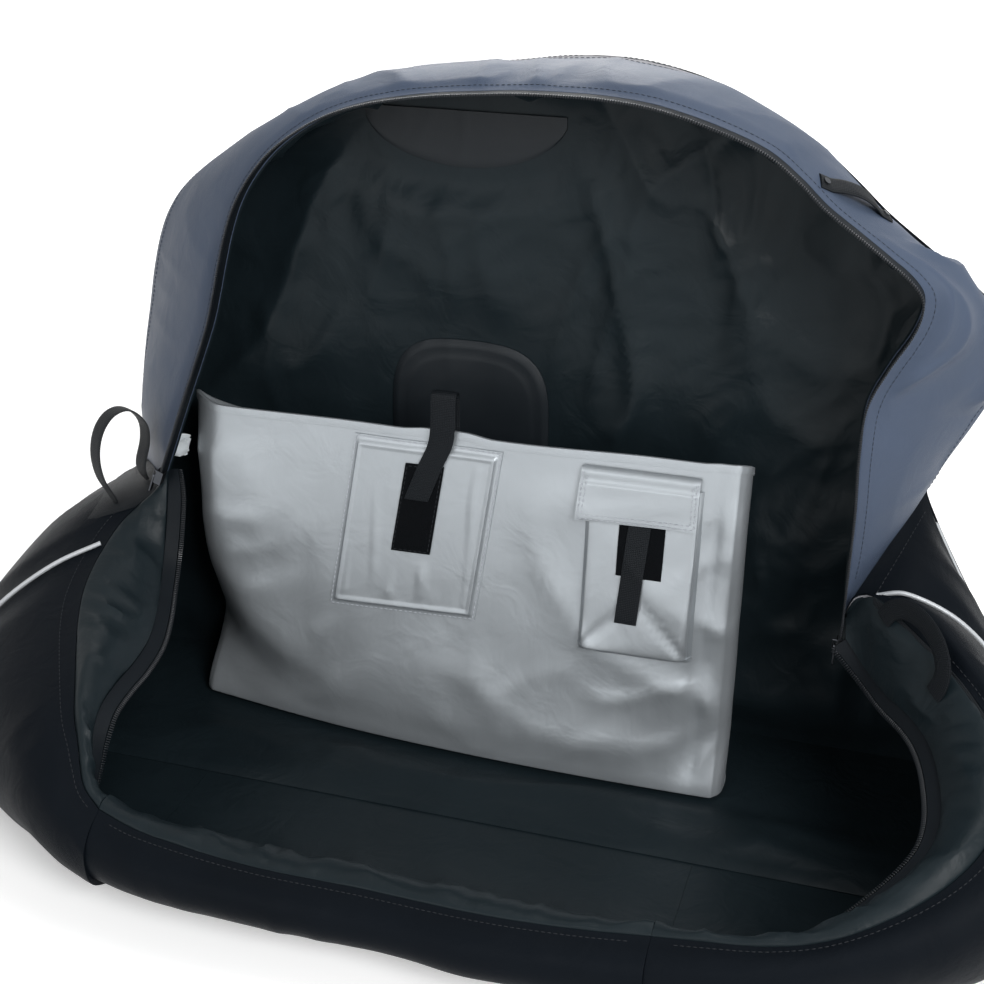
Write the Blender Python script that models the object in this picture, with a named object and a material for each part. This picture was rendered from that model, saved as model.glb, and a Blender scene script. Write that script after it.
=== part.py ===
# Soft bike travel bag, standing with its top zip open and its near half slumped forward.
# Metres, +Z up, +X along the bag, +Y towards the back wall that carries the wheel pocket.
# The origin is on the floor, at the middle of the base.
import math

import bmesh
import bpy
import numpy as np
from mathutils import Matrix, Vector
from mathutils.bvhtree import BVHTree

# Driving dimensions
bag_length = 1.36
bag_depth = 0.29
bag_height = 0.85
front_reach = 0.30
front_split = 0.30
gap = 0.0003

# Cloth layers of the padded walls
skin_thickness = 0.0025
foam_thickness = 0.010
foam_seam = 0.0015
lining_thickness = 0.002
gusset_thickness = 0.006
board_thickness = 0.004

# Zip, piping and webbing
tape_width = 0.016
tape_thickness = 0.0012
coil_radius = 0.003
piping_radius = 0.0035
webbing_width = 0.028
webbing_thickness = 0.0024
patch_thickness = 0.002

# Base footprint
foot_half_x = 0.645
foot_corner_radius = 0.06

half_length = bag_length / 2
half_depth = bag_depth / 2
base_top = skin_thickness + board_thickness + foam_thickness + lining_thickness + 3 * gap
back_front_y = half_depth - (skin_thickness + foam_thickness + lining_thickness + 2 * gap)
seam_y = back_front_y - gap

# Samples between two key lines of the lower shell, along its wall, and across its gusset
span_steps = 3
wall_steps = 8
gusset_steps = 3
arch_steps = 2


def clear_scene():
    for old in list(bpy.data.objects):
        bpy.data.objects.remove(old, do_unlink=True)


clear_scene()
bag = bpy.data.collections.new("bike_travel_bag")
bpy.context.scene.collection.children.link(bag)
cutters = bpy.data.collections.new("cutters")
bpy.context.scene.collection.children.link(cutters)


def make_material(name, colour, roughness, metallic=0.0):
    material = bpy.data.materials.new(name)
    material.use_nodes = True
    shader = material.node_tree.nodes["Principled BSDF"]
    shader.inputs["Base Color"].default_value = (*colour, 1.0)
    shader.inputs["Roughness"].default_value = roughness
    shader.inputs["Metallic"].default_value = metallic
    return material


# Colours and finishes
black_cloth = (0.012, 0.014, 0.018)
lining_cloth = (0.008, 0.009, 0.011)
blue_grey_cloth = (0.17, 0.19, 0.24)
silver_cloth = (0.55, 0.57, 0.60)
webbing_cloth = (0.015, 0.016, 0.018)
foam_colour = (0.25, 0.25, 0.27)
board_colour = (0.05, 0.05, 0.05)
reflective_colour = (0.80, 0.81, 0.82)
zip_metal = (0.62, 0.62, 0.60)
label_colour = (0.85, 0.86, 0.88)


def add_object(name, mesh, colour, roughness, metallic=0.0):
    made = bpy.data.objects.new(name, mesh)
    mesh.materials.clear()
    mesh.materials.append(make_material(name + "_finish", colour, roughness, metallic))
    bag.objects.link(made)
    return made


def hang(name, origin, pieces):
    # An empty on a joint's axis carries the pieces that move about it
    axis = bpy.data.objects.new(name, None)
    axis.location = origin
    bag.objects.link(axis)
    bpy.context.view_layer.update()
    for piece in pieces:
        moving = bpy.data.objects[piece]
        moving.parent = axis
        moving.matrix_parent_inverse = axis.matrix_world.inverted()


def unit(vector):
    vector = np.asarray(vector, dtype=float)
    return vector / np.maximum(np.linalg.norm(vector, axis=-1, keepdims=True), 1e-12)


def spline_through(points, steps):
    # Catmull-Rom samples through the points, with the end spans reflected
    points = np.asarray(points, dtype=float)
    before = 2 * points[0] - points[1]
    after = 2 * points[-1] - points[-2]
    held = np.concatenate([[before], points, [after]])
    samples = []
    for span in range(len(points) - 1):
        a, b, c, d = held[span:span + 4]
        for step in range(steps):
            t = step / steps
            samples.append(0.5 * (2 * b + (c - a) * t + (2 * a - 5 * b + 4 * c - d) * t ** 2
                                  + (3 * b - a - 3 * c + d) * t ** 3))
    samples.append(points[-1])
    return np.array(samples)


def grid_normals(grid):
    along_u = np.gradient(grid, axis=0)
    along_v = np.gradient(grid, axis=1)
    return unit(np.cross(along_u, along_v))


def shell(name, grid, normals, near, far, colour, roughness, metallic=0.0):
    # A closed layer between two depths under the surface; a negative depth lies outside it
    columns, rows = grid.shape[:2]
    upper = (grid - normals * near).reshape(-1, 3)
    lower = (grid - normals * far).reshape(-1, 3)
    count = columns * rows
    faces = []
    for i in range(columns - 1):
        for j in range(rows - 1):
            a = i * rows + j
            b = a + rows
            # The shorter diagonal of the surface itself, so that every layer of a wall is cut alike
            rising = np.linalg.norm(grid[i, j] - grid[i + 1, j + 1])
            falling = np.linalg.norm(grid[i + 1, j] - grid[i, j + 1])
            if rising < falling:
                pair = [(a, b, b + 1), (a, b + 1, a + 1)]
            else:
                pair = [(a, b, a + 1), (b, b + 1, a + 1)]
            faces += pair
            faces += [tuple(count + index for index in reversed(triangle)) for triangle in pair]
    rim = [i * rows for i in range(columns)]
    rim += [(columns - 1) * rows + j for j in range(1, rows)]
    rim += [i * rows + rows - 1 for i in range(columns - 2, -1, -1)]
    rim += [j for j in range(rows - 2, 0, -1)]
    for a, b in zip(rim, rim[1:] + rim[:1]):
        # The same diagonal on both sides of a seam, whichever way round the rim runs
        if a < b:
            faces += [(b, a, count + b), (a, count + a, count + b)]
        else:
            faces += [(b, a, count + a), (b, count + a, count + b)]
    mesh = bpy.data.meshes.new(name)
    mesh.from_pydata(np.concatenate([upper, lower]).tolist(), [], faces)
    mesh.validate()
    made = add_object(name, mesh, colour, roughness, metallic)
    face_outwards(mesh)
    return made


def signed_volume(mesh):
    mesh.calc_loop_triangles()
    places = [vertex.co for vertex in mesh.vertices]
    total = 0.0
    for triangle in mesh.loop_triangles:
        a, b, c = (places[index] for index in triangle.vertices)
        total += a.dot(b.cross(c))
    return total


def face_outwards(mesh):
    if signed_volume(mesh) < 0:
        mesh.flip_normals()
    mesh.update()


def strip(name, centres, widths, thicknesses, half_widths, thickness, colour, roughness, metallic=0.0):
    # A flat strap along a path: width and thickness directions and a half width at each point
    rings = []
    for centre, wide, thick, half in zip(centres, widths, thicknesses, half_widths):
        wide = unit(wide) * half
        thick = unit(thick) * thickness / 2
        rings.append([centre - wide - thick, centre + wide - thick,
                      centre + wide + thick, centre - wide + thick])
    faces = [(0, 1, 2, 3)]
    for ring in range(len(rings) - 1):
        for side in range(4):
            a = ring * 4 + side
            b = ring * 4 + (side + 1) % 4
            faces.append((b, a, a + 4, b + 4))
    last = (len(rings) - 1) * 4
    faces.append((last + 3, last + 2, last + 1, last))
    mesh = bpy.data.meshes.new(name)
    mesh.from_pydata([tuple(point) for ring in rings for point in ring], [], faces)
    made = add_object(name, mesh, colour, roughness, metallic)
    face_outwards(mesh)
    return made


def tube(name, points, radius, colour, roughness, metallic=0.0, sides=2):
    curve = bpy.data.curves.new(name, "CURVE")
    curve.dimensions = "3D"
    curve.bevel_depth = radius
    curve.bevel_resolution = sides - 1
    curve.use_fill_caps = True
    line = curve.splines.new("POLY")
    line.points.add(len(points) - 1)
    for spot, point in zip(line.points, points):
        spot.co = (*point, 1.0)
    return add_object(name, curve, colour, roughness, metallic)


def plate(name, outline, thickness, frame, colour, roughness, metallic=0.0, hole=None):
    # A flat outline in its own plane, extruded to the thickness and placed by a matrix
    curve = bpy.data.curves.new(name, "CURVE")
    curve.dimensions = "2D"
    curve.fill_mode = "BOTH"
    curve.extrude = thickness / 2
    for ring in [outline] + ([hole] if hole is not None else []):
        line = curve.splines.new("POLY")
        line.points.add(len(ring) - 1)
        line.use_cyclic_u = True
        for spot, point in zip(line.points, ring):
            spot.co = (point[0], point[1], 0.0, 1.0)
    made = add_object(name, curve, colour, roughness, metallic)
    made.matrix_world = frame
    return made


def rounded_outline(half_x, half_y, radius, corner_points=5):
    outline = []
    for sign_x, sign_y, start in ((1, 1, 0), (-1, 1, 90), (-1, -1, 180), (1, -1, 270)):
        for step in range(corner_points):
            angle = math.radians(start + 90 * step / (corner_points - 1))
            outline.append((sign_x * (half_x - radius) + radius * math.cos(angle),
                            sign_y * (half_y - radius) + radius * math.sin(angle)))
    return outline


def upright_frame(y):
    # Local X stays X, local Y becomes Z, local Z becomes -Y
    return Matrix(((1, 0, 0, 0), (0, 0, -1, y), (0, 1, 0, 0), (0, 0, 0, 1)))


def place(share):
    # x in half lengths, z in heights, y in half depths and past the base's front in front reaches
    x_share, y_share, z_share = share
    if y_share >= -1:
        y = min(y_share * half_depth, seam_y)
    else:
        y = -half_depth + (y_share + 1) * front_reach
    return np.array([x_share * half_length, y, z_share * bag_height])


# Key lines of the lower shell, from the left end's back edge round the front to the right end's.
# Each runs up the outside: how far it bulges out on the floor, its shoulder, the seam at its top
# and the zip edge of the gusset beyond the seam.
left_line_shares = [
    ((-1.118, 1.0, 0.0), (-0.941, 1.0, 0.253), (-0.743, 1.0, 0.341), (-0.735, 1.0, 0.388)),
    ((-1.118, 0.42, 0.0), (-0.948, 0.42, 0.288), (-0.669, 0.42, 0.367), (-0.647, 0.42, 0.412)),
    ((-1.118, 0.0, 0.0), (-0.941, 0.0, 0.318), (-0.607, 0.0, 0.379), (-0.594, 0.0, 0.406)),
    ((-1.096, -0.90, 0.0), (-0.882, -0.90, 0.294), (-0.662, -0.31, 0.335), (-0.576, -0.34, 0.291)),
    ((-1.015, -1.35, 0.0), (-0.824, -1.38, 0.235), (-0.654, -1.02, 0.288), (-0.524, -1.05, 0.238)),
    ((-0.801, -1.67, 0.0), (-0.691, -1.72, 0.224), (-0.566, -1.45, 0.241), (-0.512, -1.47, 0.224)),
    ((-0.632, -1.92, 0.0), (-0.574, -1.90, 0.194), (-0.515, -1.65, 0.206), (-0.491, -1.65, 0.176)),
]
right_line_shares = [
    ((0.647, -1.98, 0.0), (0.691, -1.95, 0.176), (0.684, -1.78, 0.162), (0.618, -1.74, 0.127)),
    ((0.882, -1.80, 0.0), (0.941, -1.72, 0.247), (0.868, -1.52, 0.241), (0.801, -1.48, 0.224)),
    ((1.059, -1.38, 0.0), (1.015, -1.32, 0.318), (0.879, -1.10, 0.315), (0.787, -1.03, 0.268)),
    ((1.096, -0.90, 0.0), (0.882, -0.83, 0.471), (0.676, -0.21, 0.382), (0.676, -0.38, 0.292)),
    ((1.096, 0.0, 0.0), (0.882, 0.0, 0.447), (0.632, 0.0, 0.335), (0.632, 0.0, 0.388)),
    ((1.096, 0.42, 0.0), (0.824, 0.42, 0.406), (0.679, 0.42, 0.394), (0.679, 0.42, 0.447)),
    ((1.096, 1.0, 0.0), (0.765, 1.0, 0.353), (0.731, 1.0, 0.453), (0.735, 1.0, 0.506)),
]
# Across the middle of the front: x in split widths, then y and z as above, for the same four points
front_line_shares = [
    (-1.0, (-2.083, 0.0), (-2.00, 0.129), (-1.817, 0.151), (-1.723, 0.132)),
    (-0.5, (-2.133, 0.0), (-2.03, 0.118), (-1.867, 0.129), (-1.690, 0.104)),
    (0.0, (-2.117, 0.0), (-2.02, 0.108), (-1.850, 0.122), (-1.667, 0.094)),
    (0.5, (-2.133, 0.0), (-2.03, 0.113), (-1.863, 0.125), (-1.683, 0.096)),
    (1.0, (-2.083, 0.0), (-1.98, 0.124), (-1.823, 0.132), (-1.733, 0.108)),
]
# Feet of the key lines on the base's edge, as shares of its straight sides and its corner turn
foot_corner_share = 0.5
foot_side_share = 0.7
foot_front_shares = (0.82, 0.65)


def foot_points(sign):
    corner_x = foot_half_x - foot_corner_radius
    corner_y = half_depth - foot_corner_radius
    turn = math.radians(90 * foot_corner_share)
    end_shares = (1.0, 0.42, 0.0)
    feet = [np.array([sign * foot_half_x, min(share * half_depth, seam_y), 0.0]) for share in end_shares]
    feet.append(np.array([sign * foot_half_x, -corner_y * foot_side_share, 0.0]))
    feet.append(np.array([sign * (corner_x + foot_corner_radius * math.cos(turn)),
                          -corner_y - foot_corner_radius * math.sin(turn), 0.0]))
    for share in foot_front_shares:
        feet.append(np.array([sign * foot_half_x * share, -half_depth, 0.0]))
    return feet


def lower_lines():
    # Every key line as five points: foot, floor bulge, shoulder, seam and zip edge
    lines = []
    for foot, shares in zip(foot_points(-1), left_line_shares):
        lines.append([foot] + [place(share) for share in shares])
    for x_share, *shares in front_line_shares:
        x = x_share * front_split
        line = [np.array([x, -half_depth, 0.0])]
        for y_share, z_share in shares:
            point = place((0.0, y_share, z_share))
            point[0] = x
            line.append(point)
        lines.append(line)
    for foot, shares in zip(reversed(foot_points(1)), right_line_shares):
        lines.append([foot] + [place(share) for share in shares])
    return np.array(lines)


gusset_bulge = 0.006
seam_gap = 0.0008


def lower_grid():
    lines = lower_lines()
    control = np.stack([spline_through(lines[:, k], span_steps) for k in range(5)], axis=1)
    control[..., 2] = np.maximum(control[..., 2], 0.0)
    rows = []
    for step in range(wall_steps + 1):
        t = step / wall_steps
        rows.append((1 - t) ** 3 * control[:, 0] + 3 * t * (1 - t) ** 2 * control[:, 1]
                    + 3 * t ** 2 * (1 - t) * control[:, 2] + t ** 3 * control[:, 3])
    for step in range(1, gusset_steps + 1):
        t = step / gusset_steps
        row = (1 - t) * control[:, 3] + t * control[:, 4]
        row[:, 2] += gusset_bulge * math.sin(math.pi * t)
        rows.append(row)
    return np.stack(rows, axis=1)


lower = lower_grid()
lower_normals = grid_normals(lower)
left_pinch = 2 * span_steps
left_cut = len(left_line_shares) * span_steps
right_cut = left_cut + (len(front_line_shares) - 1) * span_steps
right_end = len(lower) - 1
right_pinch = right_end - 2 * span_steps


def settle_normals():
    # At the back wall a layer's edge stays in one plane, and so it does at the two front splits
    for column in (0, right_end):
        lower_normals[column, :, 1] = 0
    for column in (left_cut, right_cut):
        lower_normals[column, :, 0] = 0
    lower_normals[:, 0] = (0, 0, -1)
    lower_normals[:] = unit(lower_normals)


if lower_normals[left_pinch, 2] @ np.array([-1.0, 0.0, 0.0]) < 0:
    lower_normals = -lower_normals
for turn in range(2):
    lower_normals[1:-1] = unit(lower_normals[:-2] + 2 * lower_normals[1:-1] + lower_normals[2:])
settle_normals()

# Depths of the layers under the outside of a padded wall, whose foam thins out towards the seam
foam_near = skin_thickness + gap
foam_rows = np.full((wall_steps + 1, 1), foam_thickness)
foam_rows[-2] = (foam_thickness + foam_seam) / 2
foam_rows[-1] = foam_seam
foam_far = foam_near + foam_rows
lining_near = foam_far + gap
lining_far = lining_near + lining_thickness


def columns_of(first, last, shift_first=0.0, shift_last=0.0):
    part = lower[first:last + 1].copy()
    part[0, :, 0] += shift_first
    part[-1, :, 0] += shift_last
    return part, lower_normals[first:last + 1]


def gusset_rows(part, normals):
    rows = part[:, wall_steps:].copy()
    rows[:, 0] += unit(rows[:, 1] - rows[:, 0]) * seam_gap
    return rows, normals[:, wall_steps:]


# Walls of the lower shell: left end, slumped front, right end
wall_rows = wall_steps + 1
left_part, left_normals = columns_of(0, left_cut, shift_last=-gap)
front_part, front_normals = columns_of(left_cut, right_cut)
right_part, right_normals = columns_of(right_cut, right_end, shift_first=gap)

for side, part, normals in (("left_end", left_part, left_normals), ("front", front_part, front_normals),
                            ("right_end", right_part, right_normals)):
    wall = part[:, :wall_rows]
    wall_n = normals[:, :wall_rows]
    shell(side + "_skin", wall, wall_n, 0.0, skin_thickness, black_cloth, 0.62)
    shell(side + "_foam", wall, wall_n, foam_near, foam_far, foam_colour, 0.9)
    shell(side + "_lining", wall, wall_n, lining_near, lining_far, lining_cloth, 0.7)

# Near half of the gusset, a padded strip from the front wall's seam to the zip
gusset_start = left_pinch + 2
gusset_parts = {
    "left_near_gusset": columns_of(gusset_start, left_cut, shift_last=-gap),
    "front_near_gusset": columns_of(left_cut, right_cut),
    "right_near_gusset": columns_of(right_cut, right_pinch - 3, shift_first=gap),
}
for name, (part, normals) in gusset_parts.items():
    rows, row_normals = gusset_rows(part, normals)
    shell(name, rows, row_normals, 0.0, gusset_thickness, black_cloth, 0.62)


def near_zip(name, first, last, shift_first, shift_last):
    part, normals = columns_of(first, last, shift_first, shift_last)
    edge = part[:, -1]
    run = unit(np.gradient(edge, axis=0))
    reach = unit(part[:, -1] - part[:, -2])
    reach = unit(reach - run * np.sum(reach * run, axis=1, keepdims=True))
    for column in (left_cut, right_cut):
        if first <= column <= last:
            reach[column - first, 0] = 0
    reach = unit(reach)
    normal = normals[:, -1]
    middle = (gusset_thickness - tape_thickness) / 2
    tape = np.stack([edge + reach * seam_gap, edge + reach * (seam_gap + tape_width)], axis=1)
    shell(name + "_zip_tape", tape, np.stack([normal, normal], axis=1), middle, middle + tape_thickness,
          webbing_cloth, 0.6)
    coil = edge + reach * (2 * seam_gap + tape_width + coil_radius) - normal * (middle + tape_thickness / 2)
    coil[0] += unit(coil[1] - coil[0]) * coil_radius / 2
    coil[-1] += unit(coil[-2] - coil[-1]) * coil_radius / 2
    tube(name + "_zip_coil", coil, coil_radius, webbing_cloth, 0.4)


near_zip("left_near", gusset_start + 1, left_cut, 0.0, -gap)
near_zip("front", left_cut, right_cut, 0.0, 0.0)
near_zip("right_near", right_cut, right_pinch - 4, gap, 0.0)

# Base: outer cloth, stiff board, foam and floor lining, one on the other
def base_outline():
    # The lower shell's own foot line, drawn in by the gap, and the square back corners
    shrink = np.array([1 - gap / foot_half_x, 1 - gap / half_depth])
    outline = [tuple(point) for point in lower[:, 0, :2] * shrink]
    back_y = half_depth - gap
    return outline + [(foot_half_x - gap, back_y), (-foot_half_x + gap, back_y)]


def base_layer(name, bottom, thickness, colour, roughness):
    frame = Matrix.Translation((0, 0, bottom + thickness / 2))
    plate(name, base_outline(), thickness, frame, colour, roughness)
    return bottom + thickness + gap


level = base_layer("base_skin", 0.0, skin_thickness, black_cloth, 0.62)
level = base_layer("base_board", level, board_thickness, board_colour, 0.5)
level = base_layer("base_foam", level, foam_thickness, foam_colour, 0.9)
base_layer("base_lining", level, lining_thickness, lining_cloth, 0.7)

# Back wall outline and the zip edge over it, in pairs from the left waist to the right one:
# x in half lengths and z in heights. The first and last pairs come from the lower shell.
arch_shares = [
    ((-0.737, 0.471), (-0.543, 0.511)),
    ((-0.706, 0.600), (-0.479, 0.641)),
    ((-0.671, 0.712), (-0.449, 0.729)),
    ((-0.612, 0.789), (-0.413, 0.814)),
    ((-0.488, 0.859), (-0.346, 0.887)),
    ((-0.329, 0.929), (-0.243, 0.941)),
    ((-0.160, 0.971), (-0.125, 0.967)),
    ((0.0, 0.988), (0.0, 0.979)),
    ((0.160, 1.000), (0.125, 0.984)),
    ((0.329, 0.976), (0.279, 0.976)),
    ((0.500, 0.905), (0.446, 0.933)),
    ((0.619, 0.825), (0.543, 0.871)),
    ((0.721, 0.765), (0.640, 0.816)),
    ((0.801, 0.715), (0.694, 0.776)),
    ((0.841, 0.659), (0.685, 0.724)),
    ((0.806, 0.580), (0.632, 0.629)),
    ((0.765, 0.512), (0.632, 0.482)),
]
arch_bulge = 0.012
waist_gap = 0.0012
arch_rows = left_pinch + 1


def arch_grid():
    # From the left waist over the top to the right waist; each column runs from back to zip
    first = lower[:left_pinch + 1, wall_steps]
    last = lower[right_pinch:, wall_steps][::-1]
    back_keys = [first[0]]
    zip_keys = [first[-1]]
    for (back_x, back_z), (zip_x, zip_z) in arch_shares:
        back_keys.append(np.array([back_x * half_length, seam_y, back_z * bag_height]))
        zip_keys.append(np.array([zip_x * half_length, 0.0, zip_z * bag_height]))
    back_keys.append(last[0])
    zip_keys.append(last[-1])
    back_line = spline_through(back_keys, arch_steps)
    zip_line = spline_through(zip_keys, arch_steps)
    fore = (seam_y - first[:, 1]) / seam_y
    grid = np.empty((len(back_line), arch_rows, 3))
    for row, share in enumerate(fore):
        grid[:, row] = back_line * (1 - share) + zip_line * share
    away = unit(grid[:, 0] - np.array([0.0, seam_y, bag_height / 2]))
    for row, share in enumerate(fore):
        grid[:, row] += away * arch_bulge * math.sin(math.pi * share)
    grid[0] = first
    grid[-1] = last
    return grid


arch = arch_grid()
arch_normals = grid_normals(arch)
if arch_normals[len(arch) // 2, 2, 2] < 0:
    arch_normals = -arch_normals
arch_normals[0] = lower_normals[:left_pinch + 1, wall_steps]
arch_normals[-1] = lower_normals[right_pinch:, wall_steps][::-1]
arch_normals[:, 0, 1] = 0
arch_normals[:, -1, 1] = 0
arch_normals = unit(arch_normals)
arch_part = arch.copy()
arch_part[0] += unit(arch[1] - arch[0]) * waist_gap
arch_part[-1] += unit(arch[-2] - arch[-1]) * waist_gap

shell("far_gusset", arch_part, arch_normals, 0.0, skin_thickness, blue_grey_cloth, 0.5)
far_lining_depth = foam_near + lining_thickness
shell("far_gusset_lining", arch_part, arch_normals, foam_near, far_lining_depth, lining_cloth, 0.7)

# Far zip: a tape off the gusset's front edge, its coil, and a slider on each end's straight run
toward_mouth = np.array([0.0, -1.0, 0.0])
zip_start = 0.008
zip_tail = 0.055
tail_end = arch[-1, -1] + unit(arch[-1, -1] - arch[-2, -1]) * zip_tail
zip_line = np.concatenate([arch[:, -1], [tail_end]])
zip_normals = unit(np.cross(np.gradient(zip_line, axis=0), toward_mouth))
if zip_normals[len(zip_normals) // 2, 2] < 0:
    zip_normals = -zip_normals


def trimmed(line, extra, length):
    # The line with the given length cut off each end, and the same cut through what follows it
    line = list(line)
    extra = list(extra)
    for flip in range(2):
        left = length
        while np.linalg.norm(line[1] - line[0]) < left:
            left -= np.linalg.norm(line[1] - line[0])
            line.pop(0)
            extra.pop(0)
        share = left / np.linalg.norm(line[1] - line[0])
        line[0] = line[0] + (line[1] - line[0]) * share
        extra[0] = unit(extra[0] + (extra[1] - extra[0]) * share)
        line.reverse()
        extra.reverse()
    return np.array(line), np.array(extra)


tape_line, tape_normals = trimmed(zip_line, zip_normals, zip_start)
tape_back = np.full((len(tape_line), 1), gap)
tape_back[-2:] = tape_width / 2
tape_front = gap + tape_width
tape_grid = np.stack([tape_line + toward_mouth * tape_back, tape_line + toward_mouth * tape_front], axis=1)
shell("far_zip_tape", tape_grid, np.stack([tape_normals, tape_normals], axis=1),
      gap, gap + tape_thickness, webbing_cloth, 0.6)
coil_out = 2 * gap + tape_width + coil_radius
coil_depth = gap + tape_thickness / 2
far_coil = tape_line + toward_mouth * coil_out - tape_normals * coil_depth
tube("far_zip_coil", far_coil, coil_radius, webbing_cloth, 0.4)

# Sliders: a channel that runs on the coil, with a bridge that holds the pull tab
slider_length = 0.018
slider_clearance = 0.0006
slider_plate = 0.001
slider_lip = 0.0035
bridge_half = 0.0055
bridge_wire = 0.0009
bar_rise = 0.0019
tab_length = 0.026
tab_half_width = 0.004
tab_thickness = 0.0016
tab_hole_half = 0.0022
tab_hole_length = 0.0085
weld_distance = 0.00003
slider_lift = 0.006


def frame_matrix(x_axis, y_axis, z_axis, origin):
    columns = [list(x_axis), list(y_axis), list(z_axis), list(origin)]
    rows = [[column[row] for column in columns] for row in range(3)]
    return Matrix(rows + [[0, 0, 0, 1]])


def union_into(host, guest):
    for old in list(guest.users_collection):
        old.objects.unlink(guest)
    cutters.objects.link(guest)
    guest.hide_render = True
    guest.display_type = "WIRE"
    joined = host.modifiers.new("union", "BOOLEAN")
    joined.operation = "UNION"
    joined.solver = "EXACT"
    joined.object = guest


def mesh_from_curve(source):
    evaluated = source.evaluated_get(bpy.context.evaluated_depsgraph_get())
    mesh = bpy.data.meshes.new_from_object(evaluated)
    made = bpy.data.objects.new(source.name + "_mesh", mesh)
    made.matrix_world = source.matrix_world
    work = bmesh.new()
    work.from_mesh(mesh)
    bmesh.ops.remove_doubles(work, verts=work.verts, dist=weld_distance)
    work.to_mesh(mesh)
    work.free()
    name = source.name
    material = source.data.materials[0]
    bpy.data.objects.remove(source, do_unlink=True)
    made.name = name
    mesh.materials.clear()
    mesh.materials.append(material)
    bag.objects.link(made)
    return made


def slider_places(end_index, next_index, facing):
    # Middle of the slider on the coil, the zip's direction up from its end, and the way its tab faces
    along = unit(zip_line[next_index] - zip_line[end_index])
    outward = unit(np.cross(along, toward_mouth))
    if outward[0] * facing < 0:
        outward = -outward
    centre = (zip_line[end_index] + along * (zip_start + slider_lift + slider_length / 2)
              + toward_mouth * coil_out - zip_normals[end_index] * coil_depth)
    return centre, along, outward


def make_slider(side, end_index, next_index, facing):
    centre, along, outward = slider_places(end_index, next_index, facing)
    slot = coil_radius + slider_clearance
    out = slot + slider_plate
    open_edge = -(coil_radius + slider_lip)
    inner = slot
    nose = slot + slider_plate
    profile = [(open_edge, out), (nose, out), (nose, -out), (open_edge, -out),
               (open_edge, -slot), (inner, -slot), (inner, slot), (open_edge, slot)]
    frame = frame_matrix(toward_mouth, outward, np.cross(toward_mouth, outward), centre)
    body = mesh_from_curve(plate(side + "_slider", profile, slider_length, frame, zip_metal, 0.3, 1.0))
    bar_height = out + bar_rise
    bridge_top = bar_height + tab_thickness / 2 + slider_clearance + bridge_wire
    rise = outward * bridge_top
    sunk = outward * (out - slider_plate / 2)
    points = [centre - along * bridge_half + sunk, centre - along * bridge_half + rise,
              centre + along * bridge_half + rise, centre + along * bridge_half + sunk]
    bridge = mesh_from_curve(tube(side + "_bridge", points, bridge_wire, zip_metal, 0.3, 1.0))
    union_into(body, bridge)
    # The tab hangs down the zip from a bar that lies under the bridge
    bar = centre + outward * bar_height
    half = tab_thickness / 2
    outline = rounded_outline(tab_length / 2, tab_half_width, tab_half_width / 2, 3)
    outline = [(x + tab_length / 2 - half, y) for x, y in outline]
    hole = [(half, tab_hole_half), (half + tab_hole_length, tab_hole_half),
            (half + tab_hole_length, -tab_hole_half), (half, -tab_hole_half)]
    tab_frame = frame_matrix(-along, np.cross(outward, -along), outward, bar)
    plate(side + "_pull_tab", outline, tab_thickness, tab_frame, zip_metal, 0.3, 1.0, hole=hole)


make_slider("left", 0, arch_steps, -1)
make_slider("right", len(zip_line) - 1, len(zip_line) - 2 - arch_steps, -1)

# Back wall: three flat layers with the outline of the lower shell's ends and the arch
def back_outline():
    left = [point for point in lower[0, :wall_rows] if point[2] > base_top + 2 * gap]
    right = [point for point in lower[-1, :wall_rows][::-1] if point[2] > base_top + 2 * gap]
    line = left + list(arch[1:-1, 0]) + right
    floor = base_top + gap
    first = (left[0][0], floor)
    last = (right[-1][0], floor)
    return [first] + [(point[0], point[2]) for point in line] + [last]


def back_layer(name, back, thickness, colour, roughness):
    plate(name, back_outline(), thickness, upright_frame(back - thickness / 2), colour, roughness)
    return back - thickness - gap


back = back_layer("back_skin", half_depth, skin_thickness, black_cloth, 0.62)
back = back_layer("back_foam", back, foam_thickness, foam_colour, 0.9)
back_layer("back_lining", back, lining_thickness, lining_cloth, 0.7)

# Reflective piping on the ends' seams, down the near corner and down the back edge
piping_gap = 0.00065


def piping(name, column, top_row, last_share):
    # The last stretch covers only a share of its row
    rows = slice(wall_steps // 4, top_row + 1)
    centre = lower[column, rows] + lower_normals[column, rows] * (piping_radius + piping_gap)
    centre[-1] = centre[-2] + (centre[-1] - centre[-2]) * last_share
    tube(name, centre, piping_radius, reflective_colour, 0.3)


piping("left_front_piping", left_pinch + 4, wall_steps, 0.9)
piping("right_front_piping", right_pinch + 1, wall_steps, 0.6)
piping("left_back_piping", 0, wall_steps - 1, 1.0)
piping("right_back_piping", right_end, wall_steps - 1, 1.0)


def surface_at(grid, u, v):
    # A place between the samples of a grid, or a direction where the grid holds normals
    i = min(int(u), grid.shape[0] - 2)
    j = min(int(v), grid.shape[1] - 2)
    fu = u - i
    fv = v - j
    near_side = grid[i, j] * (1 - fv) + grid[i, j + 1] * fv
    far_side = grid[i + 1, j] * (1 - fv) + grid[i + 1, j + 1] * fv
    return near_side * (1 - fu) + far_side * fu


# End handles. The left one stands up from its sewn patch. Each foot is a half disc about the axis of
# its swing, so it keeps clear of the patch. The right one lies flat, and turns about its feet's ends.
foot_radius = webbing_width / 2
handle_clearance = 0.0012
flat_handle_lift = 0.0020
foot_tip_share = 0.167
flat_width_share = 0.8


def handle_patch(side, columns, rows):
    columns = slice(columns[0], columns[1] + 1)
    rows = slice(rows[0], rows[1] + 1)
    shell(side + "_handle_patch", lower[columns, rows], lower_normals[columns, rows],
          -(gap + patch_thickness), -gap, webbing_cloth, 0.6)


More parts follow.
